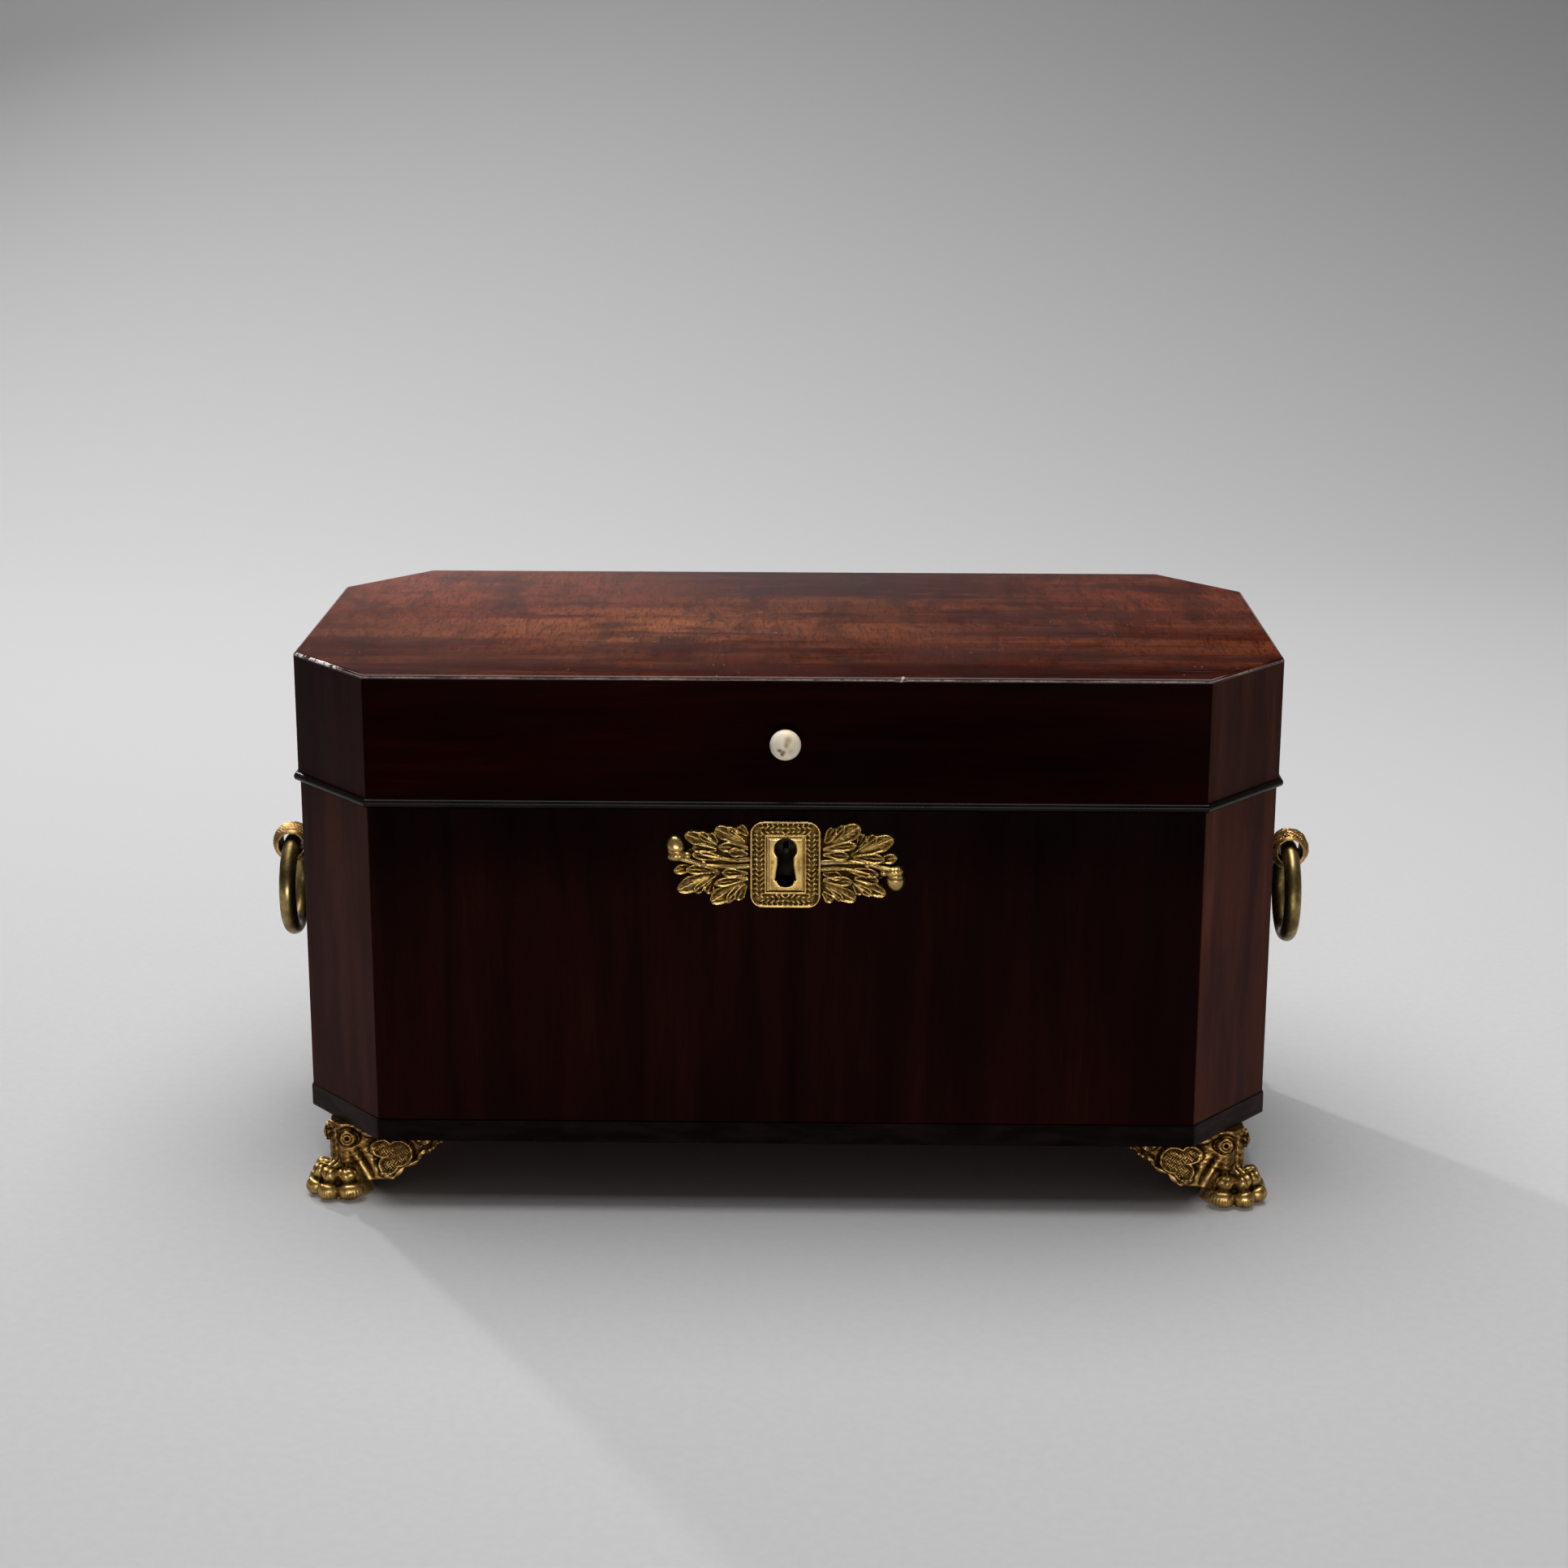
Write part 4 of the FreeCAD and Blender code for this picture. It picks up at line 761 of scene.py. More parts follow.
def leaf_lobe(x, z, root, tip, half_width, high):
    """One lobe of an oak leaf: a rolled rim round a shallow dish, with a vein along its middle."""
    reach = Vector(tip) - Vector(root)
    along = reach.normalized()
    share = ((x - root[0]) * along.x + (z - root[1]) * along.y) / reach.length
    aside = (z - root[1]) * along.x - (x - root[0]) * along.y
    round_tip = half_round(share, LOBE_WIDEST, 1 - LOBE_WIDEST)
    widening = LOBE_ROOT + (1 - LOBE_ROOT) * share / LOBE_WIDEST
    edge = LOBE_FULLNESS * half_width * np.where(share < LOBE_WIDEST, widening, round_tip)
    inward = edge - np.abs(aside)
    body = high * (0.6 + 0.4 * np.clip(share, 0, 1)) * (0.5 + 0.5 * smooth_step(inward / 0.6))
    dish = 0.30 * ridge(inward, 0.55, 0.35) - 0.62 * smooth_step((inward - 0.5) / 1.0)
    dish = dish + 0.05 * np.cos(5.2 * aside + 3.1 * share * reach.length) * smooth_step(inward - 0.4)
    vein = 0.3 * ridge(aside, 0, 0.3) * smooth_step(inward - 0.3)
    return np.where((share > 0) & (inward > 0), np.maximum(body + dish + vein, LOBE_LEAST), 0)


# Lobes of the right-hand spray's leaves: root, tip, half width and height
SPRAY = (
    ((14.1, 6.4), (23.8, 12.8), 2.1, 2.3),
    ((14.8, 6.9), (18.6, 13.1), 1.2, 1.9),
    ((12.5, 6.9), (15.6, 12.2), 1.4, 1.7),
    ((11.7, 4.8), (22.8, 6.6), 1.3, 2.5),
    ((11.7, 3.2), (20.4, 2.8), 1.3, 2.3),
    ((22.3, 3.2), (34.4, 8.9), 2.1, 2.3),
    ((25.4, 5.6), (28.7, 9.8), 1.3, 1.9),
    ((22.8, 5.6), (25.0, 10.1), 1.3, 1.7),
    ((21.5, 2.4), (31.7, 1.8), 1.4, 2.4),
    ((28.5, 1.0), (35.6, 2.5), 1.4, 2.2),
    ((13.0, -6.8), (22.6, -11.9), 1.8, 2.3),
    ((14.1, -8.1), (18.4, -12.2), 1.1, 1.9),
    ((11.7, -9.2), (15.1, -12.6), 1.3, 1.7),
    ((11.7, -3.0), (18.2, -4.2), 1.3, 2.3),
    ((11.7, -5.2), (21.5, -5.7), 1.4, 2.5),
    ((21.5, -5.4), (32.1, -10.0), 1.7, 2.3),
    ((22.3, -6.5), (27.7, -10.3), 1.2, 2.0),
    ((21.3, -6.8), (24.5, -10.0), 1.1, 1.8),
    ((19.2, -1.7), (29.8, -3.3), 1.4, 2.4),
    ((21.8, -4.6), (29.7, -5.4), 1.4, 2.2),
)

# A lobe's width at its root and where it is widest, as shares, how full it is, and its least height
LOBE_ROOT = 0.45
LOBE_WIDEST = 0.62
LOBE_FULLNESS = 1.5
LOBE_LEAST = 0.5

# Blades under the lobes: middle, half length, half width and turn
BLADE_HEIGHT = 1.5
BLADES = (
    ((17.5, 7.4), 7.0, 4.2, 0.50),
    ((27.5, 6.0), 7.0, 3.0, 0.42),
    ((16.5, -7.6), 6.5, 4.0, -0.45),
    ((26.0, -6.8), 6.5, 3.0, -0.40),
    ((20.0, 0.0), 11.0, 5.5, 0.0),
)

# Web behind the leaves: along, and its upper and lower line
WEB_ALONG = (8, 12, 20, 26, 31)
WEB_TOP = (9, 8.5, 7.5, 6.5, 2.5)
WEB_BOTTOM = (-9.5, -9, -8, -7.5, -4.5)
WEB_HEIGHT = 0.9

# Stems: points along and up, then half widths at root and tip
STEMS = (
    ((8, 11.6, 15.0, 19.0, 23.0, 27.0), (-1.6, -1.5, -1.2, -1.5, -2.2, -3.2), 1.0, 0.5),
    ((8, 12.0, 16.0, 21.0, 26.0, 30.0), (0.5, 0.6, 0.9, 0.9, 0.3, -0.8), 1.1, 0.45),
    ((26, 28.0, 30.0, 32.0, 33.4, 34.4), (0.3, -0.2, -0.8, -1.4, -1.8, -2.1), 0.8, 1.3),
)

# Acorn and the bead beside it: middle, half sizes, turn and height, and the groove below the cup
ACORN_TURN = math.radians(-80)
ACORN_NUT = ((34.9, -5.1), 4.2, 3.1, ACORN_TURN, 3.0)
ACORN_CUP = ((34.5, -2.5), 2.2, 3.4, ACORN_TURN, 3.05)
ACORN_BEAD = ((31.2, -2.6), 1.7, 1.7, 0, 2.8)
ACORN_GROOVE = -4.4

# Runs of the laurel band, mirrored to the left: start, end and pairs of leaflets
LAUREL_RUNS = (
    ((8.3, -9.7), (8.3, 9.7), 13),
    ((7.4, 11.4), (0.8, 11.4), 5),
    ((0.8, -11.4), (7.4, -11.4), 5),
)

# Its leaflets and berries: places, lean and sizes, and how much these vary
LEAFLET_OUT = 0.75
LEAFLET_LEAN = 0.55
LEAFLET_LONG = 1.0
LEAFLET_SHORT = 0.42
LEAFLET_HEIGHT = 0.8
BERRY_OUT = (1.7, 1.75)
BERRY_RADIUS = 0.36
BERRY_HEIGHT = 0.8
VARIES = 0.2
LEAN_VARIES = 0.22

# Frame of the escutcheon: rim, the middle and half width of its rounding, laurel band and inner border
RIM_WIDTH = 0.9
RIM_ROUND = (0.42, 0.5)
RIM_HEIGHT = 1.9
RIM_RISE = 0.8
BAND_HEIGHT = 1.8
LAUREL_RISE = 0.65
BORDER_WIDTH = 0.8
BORDER_HEIGHT = 2.2
BORDER_RISE = 0.4

# Keyhole plate: its raised edge and its height
PLATE_EDGE = 0.5
PLATE_EDGE_HEIGHT = 1.75
PLATE_HEIGHT = 1.45

# Slot of the keyhole: drop below the eye's middle, and half width there
SLOT_DROP = (0, 5.0, 10.3, 10.35, 11.0, 11.6, 12.1, 12.4)
SLOT_HALF = (2.3, 2.3, 3.1, 2.4, 2.3, 1.9, 1.4, 0.5)


def oak_spray(x, z):
    """Heights of the right-hand spray: leaves, stems and an acorn on its stalk."""
    on_web = (z < np.interp(x, WEB_ALONG, WEB_TOP)) & (z > np.interp(x, WEB_ALONG, WEB_BOTTOM))
    on_web = on_web & (x > WEB_ALONG[0]) & (x < WEB_ALONG[-1])
    height = np.where(on_web, WEB_HEIGHT, 0)
    for centre, long, short, turn in BLADES:
        height = np.maximum(height, ellipse_bump(x, z, centre, long, short, turn, BLADE_HEIGHT))
    for lobe in SPRAY:
        height = np.maximum(height, leaf_lobe(x, z, *lobe))
    for along, line, base, tip in STEMS:
        offset = z - np.interp(x, along, line)
        half = np.interp(x, (along[0], along[-1]), (base, tip))
        stem = 1.3 + 0.95 * half_round(offset, 0, half) + 0.12 * np.cos(offset * 9)
        on_stem = (np.abs(offset) < half) & (x > along[0]) & (x < along[-1])
        height = np.where(on_stem, np.maximum(height, stem), height)
    nut = ellipse_bump(x, z, *ACORN_NUT) - 0.25 * ridge(z, ACORN_GROOVE, 0.3)
    cup = ellipse_bump(x, z, *ACORN_CUP)
    scales = 0.16 * np.sin(x * 6.5) * np.sin(z * 6.5)
    height = np.maximum(height, nut)
    height = np.maximum(height, np.where(cup > 0, cup + scales, 0))
    return np.maximum(height, ellipse_bump(x, z, *ACORN_BEAD))


def wreath(x, z):
    """Leaflets and berries of the laurel band round the plate."""
    height = np.zeros_like(x)
    aside = np.abs(x)
    for start, end, count in LAUREL_RUNS:
        heading = math.atan2(end[1] - start[1], end[0] - start[0])
        for i in range(count):
            share = i / (count - 1)
            spot = (start[0] + (end[0] - start[0]) * share, start[1] + (end[1] - start[1]) * share)
            for side in (-1, 1):
                sway = math.sin(5.1 * i + 2.3 * side + 1.7 * heading)
                turn = heading + side * (LEAFLET_LEAN + LEAN_VARIES * sway)
                across = heading + side * math.pi / 2
                out = (math.cos(across), math.sin(across))
                more = VARIES * sway
                leaflet = (spot[0] + LEAFLET_OUT * out[0], spot[1] + (LEAFLET_OUT + more) * out[1])
                berry = (spot[0] + (BERRY_OUT[0] + more) * out[0], spot[1] + BERRY_OUT[1] * out[1])
                leaf_size = (LEAFLET_LONG + more, LEAFLET_SHORT, turn, LEAFLET_HEIGHT + more)
                berry_size = (BERRY_RADIUS, BERRY_RADIUS, 0, BERRY_HEIGHT)
                height = np.maximum(height, ellipse_bump(aside, z, leaflet, *leaf_size))
                height = np.maximum(height, ellipse_bump(aside, z, berry, *berry_size))
    return height


def escutcheon_height(x, z):
    """Heights of the whole escutcheon: two sprays, the frame's rim, wreath and inner border."""
    height = np.where(x > 0, oak_spray(x, z), oak_spray(-x, -z))
    beyond_x = np.abs(x) - (FRAME_HALF_WIDTH - FRAME_CORNER)
    beyond_z = np.abs(z) - (FRAME_HALF_HEIGHT - FRAME_CORNER)
    outside = np.hypot(np.maximum(beyond_x, 0), np.maximum(beyond_z, 0)) - FRAME_CORNER
    depth = -outside - np.minimum(np.maximum(beyond_x, beyond_z), 0)
    rim = RIM_HEIGHT + RIM_RISE * half_round(depth, *RIM_ROUND)
    band = BAND_HEIGHT + LAUREL_RISE * wreath(x, z)
    from_window = np.maximum(np.abs(x) - WINDOW_HALF_WIDTH, np.abs(z) - WINDOW_HALF_HEIGHT)
    border = BORDER_HEIGHT + BORDER_RISE * half_round(from_window, BORDER_WIDTH / 2, BORDER_WIDTH / 2)
    plate = np.where(depth < RIM_WIDTH, rim, np.where(from_window < BORDER_WIDTH, border, band))
    height = np.where(depth > 0, plate, height)
    return np.where(from_window < 0, 0, height)


def keyhole_plate_height(x, z):
    """Heights of the plain plate in the frame's window, pierced by the keyhole."""
    edge = np.minimum(WINDOW_HALF_WIDTH - np.abs(x), WINDOW_HALF_HEIGHT - np.abs(z))
    plate = np.where(edge < PLATE_EDGE, PLATE_EDGE_HEIGHT, PLATE_HEIGHT)
    plate = plate - 0.2 * ridge(edge, PLATE_EDGE + 0.15, 0.14)
    eye = np.hypot(x, z - KEYHOLE_EYE) - KEYHOLE_RADIUS
    below = KEYHOLE_EYE - z
    slot = np.abs(x) - np.interp(below, SLOT_DROP, SLOT_HALF)
    slot = np.where((below > 0) & (below < SLOT_DROP[-1]), slot, WINDOW_HALF_HEIGHT)
    gap = np.minimum(eye, slot)
    return np.where((gap < 0) | (edge <= 0), 0, plate - 0.5 * ridge(gap, 0, 0.25))


def make_escutcheon(gilt):
    """The escutcheon and its keyhole plate."""
    casting = relief_piece("escutcheon_casting", FRAME_MIDDLE, *CASTING_GROUND, escutcheon_height)
    plate = relief_piece("keyhole_plate_casting", FRAME_MIDDLE, *PLATE_GROUND, keyhole_plate_height)
    stand_in(casting, "escutcheon", gilt)
    stand_in(plate, "keyhole_plate", gilt)


# Castings in the round

def welded_copy(name, source):
    """A copy of a CAD node's skin, welded into one mesh and made active."""
    bpy.ops.object.select_all(action="DESELECT")
    piece = bpy.data.objects.new(name, nodes[source].data.copy())
    bpy.context.scene.collection.objects.link(piece)
    bpy.context.view_layer.objects.active = piece
    piece.select_set(True)
    bpy.ops.object.mode_set(mode="EDIT")
    bpy.ops.mesh.select_all(action="SELECT")
    bpy.ops.mesh.remove_doubles(threshold=1e-6)
    bpy.ops.object.mode_set(mode="OBJECT")
    return piece


def recast(piece, grain, softening):
    """Runs a piece's solids together as one casting of an even grain, softened all over."""
    skin = piece.modifiers.new("skin", "REMESH")
    skin.mode = "VOXEL"
    skin.voxel_size = grain
    bpy.ops.object.modifier_apply(modifier=skin.name)
    soft = piece.modifiers.new("soft", "SMOOTH")
    soft.factor = 0.5
    soft.iterations = softening
    bpy.ops.object.modifier_apply(modifier=soft.name)


def points_and_normals(mesh):
    """The vertices and their normals as arrays."""
    points = np.zeros(len(mesh.vertices) * 3)
    mesh.vertices.foreach_get("co", points)
    normals = np.zeros(len(mesh.vertices) * 3)
    mesh.vertex_normals.foreach_get("vector", normals)
    return points.reshape(-1, 3), normals.reshape(-1, 3)


def mark_hollows(mesh, rounds, depth, darkest=False):
    """Notes on each vertex how far it lies below its surroundings, from 0 to 1, or 1 where marked darkest.
    """
    points, normals = points_and_normals(mesh)
    pairs = np.zeros(len(mesh.edges) * 2, dtype=np.int64)
    mesh.edges.foreach_get("vertices", pairs)
    first, second = pairs.reshape(-1, 2).T
    count = np.bincount(pairs, minlength=len(points))[:, None]
    around = points.copy()
    for _ in range(rounds):
        total = np.zeros_like(around)
        np.add.at(total, first, around[second])
        np.add.at(total, second, around[first])
        around = total / np.maximum(count, 1)
    sunk = ((around - points) * normals).sum(1) / depth
    values = np.where(darkest, 1.0, np.clip(sunk + 0.42, 0, 1))
    mesh.attributes.new("hollow", "FLOAT", "POINT").data.foreach_set("value", values)


# Ornament of a wing, in millimetres along it and down. The medallion's trefoil and the beads have a radius,
# and the leaves a half length, a half width and a turn.
TREFOIL = ((20.5, 10.8, 4.9), (15.1, 9.0, 3.5), (17.1, 14.8, 3.5))
WING_LEAVES = (
    (24.6, 15.2, 3.3, 1.5, -0.55),
    (20.6, 18.0, 2.6, 1.4, -0.9),
    (28.6, 11.0, 2.6, 1.3, -0.9),
    (27.6, 5.6, 2.4, 1.5, 0.7),
    (30.8, 6.4, 2.2, 1.1, -0.5),
    (12.2, 4.0, 2.2, 1.2, 0.5),
    (26.6, 2.4, 2.4, 1.0, 0.1),
)
WING_BEADS = (
    (16.4, 19.0, 1.3), (18.2, 19.9, 1.2), (14.9, 18.0, 1.1), (17.6, 17.9, 1.0),
    (32.2, 9.2, 1.1), (34.0, 8.1, 1.1), (35.8, 7.0, 1.0), (37.4, 5.9, 1.0), (39.0, 4.7, 0.9),
    (33.4, 5.0, 1.0), (35.6, 4.0, 0.9), (37.6, 3.0, 0.8),
)
LEAF_HEIGHT = 1.1
BEAD_HEIGHT = 1.0
TREFOIL_RIM = 0.85
PUNCH_PITCH = 0.95
RING_PITCH = 1.05
VOLUTE_RADIUS = 3.2
VOLUTE_GROOVE = 3.8
VOLUTE_GROOVE_LOW = 8
FOLDS_FROM = 7.4
FOLDS_TO = 12.5
FOLD_SLOPE = 0.30

# Ridges and grooves side by side: middle, half width and height
WING_FOLDS = ((8.3, 0.8, 0.55), (10.9, 0.9, 0.45), (9.6, 0.5, -0.4))
LEG_RIDGES = ((1.25, 0.7, 0.6), (0, 0.5, -0.55), (2.9, 0.6, -0.5), (4.4, 0.8, 0.4))
TOE_FURROWS = ((0.47, 0.17, -0.6), (-0.62, 0.2, -0.42))

# Grain of the castings and of the turned knob, and the depth that counts as a full hollow
FOOT_GRAIN = 0.27 * MM
FOOT_HOLLOW = 0.45 * MM
BOSS_GRAIN = 0.2 * MM
BOSS_HOLLOW = 0.2 * MM
KNOB_GRAIN = 0.14 * MM


def punched_trefoil(reach, drop):
    """The medallion's rim, punched ground and the groove round it, and how far inside it a point lies."""
    inside = np.max([size - np.hypot(reach - along, drop - below) for along, below, size in TREFOIL], axis=0)
    rolled = 0.35 * half_round(inside, 0.4, 0.45)
    across = 2 * math.pi / PUNCH_PITCH * reach
    down = 2 * math.pi / PUNCH_PITCH * drop
    rows = np.cos(across + 0.9 * np.sin(down * 0.37))
    punched = 0.28 * rows * np.cos(down * 0.9 + 0.9 * np.sin(across * 0.41))
    ground = punched - 0.3 * smooth_step((inside - TREFOIL_RIM) / 0.8)
    height = np.where(inside > TREFOIL_RIM, ground, rolled)
    return np.where(inside > 0, height, -0.4 * ridge(inside, -0.5, 0.5)), inside


def veined_leaf(reach, drop, spot, long, short, turn):
    """A small leaf of a wing, with a groove along its middle."""
    along, aside = turned(reach, drop, spot, turn)
    leaf = ellipse_bump(reach, drop, spot, long, short, turn, LEAF_HEIGHT)
    vein = 0.3 * ridge(aside, 0, 0.3) * (np.abs(along) < long * 0.8)
    return np.where(leaf > 0, leaf - vein, 0)


def wing_relief(reach, drop):
    """Chasing on a wing, in millimetres: a punched trefoil, leaves, beads, folds and a volute."""
    height, inside = punched_trefoil(reach, drop)
    for along, below, long, short, turn in WING_LEAVES:
        leaf = veined_leaf(reach, drop, (along, below), long, short, turn)
        height = np.where((inside < 0) & (leaf > 0), np.maximum(height, leaf), height)
    for along, below, size in WING_BEADS:
        bead = ellipse_bump(reach, drop, (along, below), size, size, 0, BEAD_HEIGHT)
        height = np.where(bead > 0, np.maximum(height, bead), height)
    folds = ridges(reach - FOLD_SLOPE * (drop - 10), WING_FOLDS) * smooth_step((drop - FOLDS_FROM) / 3)
    height = np.where((reach < FOLDS_TO) & (drop > FOLDS_FROM), folds, height)
    from_eye = np.hypot((reach - VOLUTE[0]) / 0.9, drop - VOLUTE[1])
    rings = 0.26 * np.cos(2 * math.pi * from_eye / RING_PITCH) - 1.2 * ridge(from_eye, 0, 0.6)
    rings = rings - 0.9 * smooth_step((from_eye - 2.3) / 0.7)
    height = np.where(from_eye < VOLUTE_RADIUS, rings, height)
    grooved = (from_eye > VOLUTE_RADIUS) & (from_eye < VOLUTE_GROOVE) & (drop < VOLUTE_GROOVE_LOW)
    return np.where(grooved, -0.35, height)


def toe_bearings():
    """Directions of the toes, seen from the paw's own line ahead."""
    return [math.radians((i - (TOES - 1) / 2) * TOE_SPREAD) for i in range(TOES)]


def toe_spots(ahead, height):
    """Places of the toes' joints, in millimetres ahead, aside and up."""
    return [
        (PAW_FORWARD + ahead * math.cos(bearing), ahead * math.sin(bearing), height)
        for bearing in toe_bearings()
    ]


def rugged(spots, share):
    """Uneven skin of a sand casting, in millimetres."""
    x, y, z = spots.T
    coarse = np.sin(2.1 * x + 1.3 * z) * np.sin(1.9 * y - 1.1 * z) + np.sin(2.6 * z + 0.9 * x - 1.2 * y)
    fine = np.sin(5.3 * x - 2.2 * y) * np.sin(4.7 * z + 1.9 * y) * np.sin(4.1 * y + 2.7 * x)
    return (0.07 * coarse + 0.10 * fine) * share


def foot_places(points):
    """How far points of the front right foot lie before its corner, past it and below its top."""
    out_front = (FOOT_CORNER.y - points[:, 1]) / MM
    out_end = (points[:, 0] - FOOT_CORNER.x) / MM
    drop = (FOOT_TOP - points[:, 2]) / MM
    return out_front, out_end, drop


def leg_ridges(forward, aside, drop):
    """Ridges and grooves down the leg, in millimetres."""
    fade = smooth_step((drop - 0.6) / 2) * smooth_step((18.5 - drop) / 3)
    return np.where((forward > -12) & (forward < 4), ridges(np.abs(aside), LEG_RIDGES) * fade, 0)


def paw_fur(forward, aside, drop, up):
    """Combed lines of the fur above the toes, in millimetres."""
    bearing = np.arctan2(aside, forward - PAW_FORWARD + 3)
    fade = smooth_step((up - 6.5) / 2) * smooth_step((12 - up) / 2)
    return np.where(forward > PAW_FORWARD - 6, 0.12 * np.cos(bearing * 30 + drop * 1.1) * fade, 0)


def toe_furrows(spots):
    """Furrows across each toe, before and behind its knuckle, in millimetres."""
    lift = np.zeros(len(spots))
    for knuckle, toe in zip(toe_spots(*KNUCKLE_AT), toe_spots(*NAIL_AT)):
        finger = np.array(toe) - np.array(knuckle)
        spot = spots - np.array(knuckle)
        share = spot @ finger / (finger @ finger)
        away = np.linalg.norm(spot - share[:, None] * finger, axis=1)
        lift += ridges(share, TOE_FURROWS) * smooth_step((4.2 - away) / 1.2)
    return lift


def nail_lines(spots):
    """Fine lines down the nail of each toe, in millimetres."""
    forward, aside, up = spots.T
    lift = np.zeros(len(spots))
    for turn, (ahead, beside, height) in zip(toe_bearings(), toe_spots(*NAIL_AT)):
        along, across = turned(forward, aside, (ahead, beside), turn)
        near = smooth_step((2.6 - np.abs(across)) / 0.8) * smooth_step((along - 0.9) / 0.7)
        low = smooth_step((height + 0.9 - up) / 0.8)
        lift += 0.10 * np.cos(2 * math.pi * across / 0.8) * near * low
    return lift


def chase_foot(mesh):
    """Moves the skin of the front right foot: wings, ridged leg, fur, and furrows and nails of the toes."""
    points, normals = points_and_normals(mesh)
    out_front, out_end, drop = foot_places(points)
    up = points[:, 2] / MM
    moved = points.copy()
    for reach, out, axis, sign in ((-out_end, out_front, 1, -1), (-out_front, out_end, 0, 1)):
        facing = np.clip(normals[:, axis] * sign * 1.8 - 0.3, 0, 1)
        on_wing = (out > WING_OUT[0]) & (out < WING_OUT[1]) & (reach > WING_FROM) & (drop > WING_BELOW)
        height = wing_relief(reach, drop) * facing
        moved[:, axis] += np.where(on_wing, height, 0) * sign * MM
    forward = (out_end + out_front) * SLANT
    aside = (out_end - out_front) * SLANT
    spots = np.stack([forward, aside, up], 1)
    lift = leg_ridges(forward, aside, drop) + paw_fur(forward, aside, drop, up)
    lift += toe_furrows(spots) + nail_lines(spots)
    lift += rugged(points / MM, smooth_step((up - 9.5) / 3))
    moved += normals * (lift * MM)[:, None]
    moved[:, 2] = np.clip(moved[:, 2], 0, FOOT_TOP)
    mesh.vertices.foreach_set("co", moved.ravel())


def draw_wings_in(mesh):
    """Draws the medallions of the front right foot along its wings, towards the box's middle, and up."""
    points, _ = points_and_normals(mesh)
    out_front, out_end, drop = foot_places(points)
    for reach, out, axis, sign in ((-out_end, out_front, 0, -1), (-out_front, out_end, 1, 1)):
        share = smooth_step((reach - DRAWN_FROM) / 7) * smooth_step((DRAWN_TO - reach) / 18)
        share = share * smooth_step((drop - WING_BELOW) / 4) * (out > -8)
        points[:, axis] += sign * WING_SHIFT * share * MM
        points[:, 2] += WING_LIFT * share * MM
    mesh.vertices.foreach_set("co", points.ravel())


def loose_ball(forward, aside, up, radius, squash, segments, rings):
    """A squashed ball at a place of the front right paw, in millimetres ahead, aside and up."""
    spot = FOOT_CORNER + Vector((forward + aside, aside - forward, 0)) * (SLANT * MM)
    bpy.ops.mesh.primitive_uv_sphere_add(
        segments=segments,
        ring_count=rings,
        radius=radius * MM,
        location=(spot.x, spot.y, up * MM),
        scale=(1, 1, squash),
    )
    return bpy.context.object


def foot_nubs():
    """Knuckles and toes of the paw, a little prouder than the solid's, and its heart, as loose balls."""
    knuckles = [loose_ball(*spot, KNUCKLE_RADIUS, 1.0, 32, 20) for spot in toe_spots(*KNUCKLE_AT)]
    toes = [loose_ball(*spot, TOE_RADIUS, TOE_SQUASH, 32, 20) for spot in toe_spots(*TOE_AT)]
    heart = loose_ball(PAW_HEART, 0, HEART_UP, HEART_RADIUS, HEART_SQUASH, 48, 32)
    return knuckles + toes + [heart]


def make_feet(gilt):
    """The four feet, cast once for the front right corner and mirrored to the others."""
    model = welded_copy("foot_casting_front_right", "foot_front_right")
    balls = foot_nubs()
    bpy.ops.object.select_all(action="DESELECT")
    for ball in balls:
        ball.select_set(True)
    bpy.ops.object.transform_apply(location=True, rotation=True, scale=True)
    model.select_set(True)
    bpy.context.view_layer.objects.active = model
    bpy.ops.object.join()
    recast(model, FOOT_GRAIN, 5)
    chase_foot(model.data)
    draw_wings_in(model.data)
    mark_hollows(model.data, 12, FOOT_HOLLOW)
    bpy.ops.object.shade_smooth()
    feet = {"front_right": model}
    for corner, flip in FOOT_FLIPS.items():
        mesh = model.data.copy()
        mesh.transform(Matrix.Diagonal((*flip, 1)))
        if flip[0] * flip[1] < 0:
            mesh.flip_normals()
        feet[corner] = bpy.data.objects.new("foot_casting_" + corner, mesh)
        bpy.context.scene.collection.objects.link(feet[corner])
    for corner, foot in feet.items():
        stand_in(foot, "foot_" + corner, gilt)


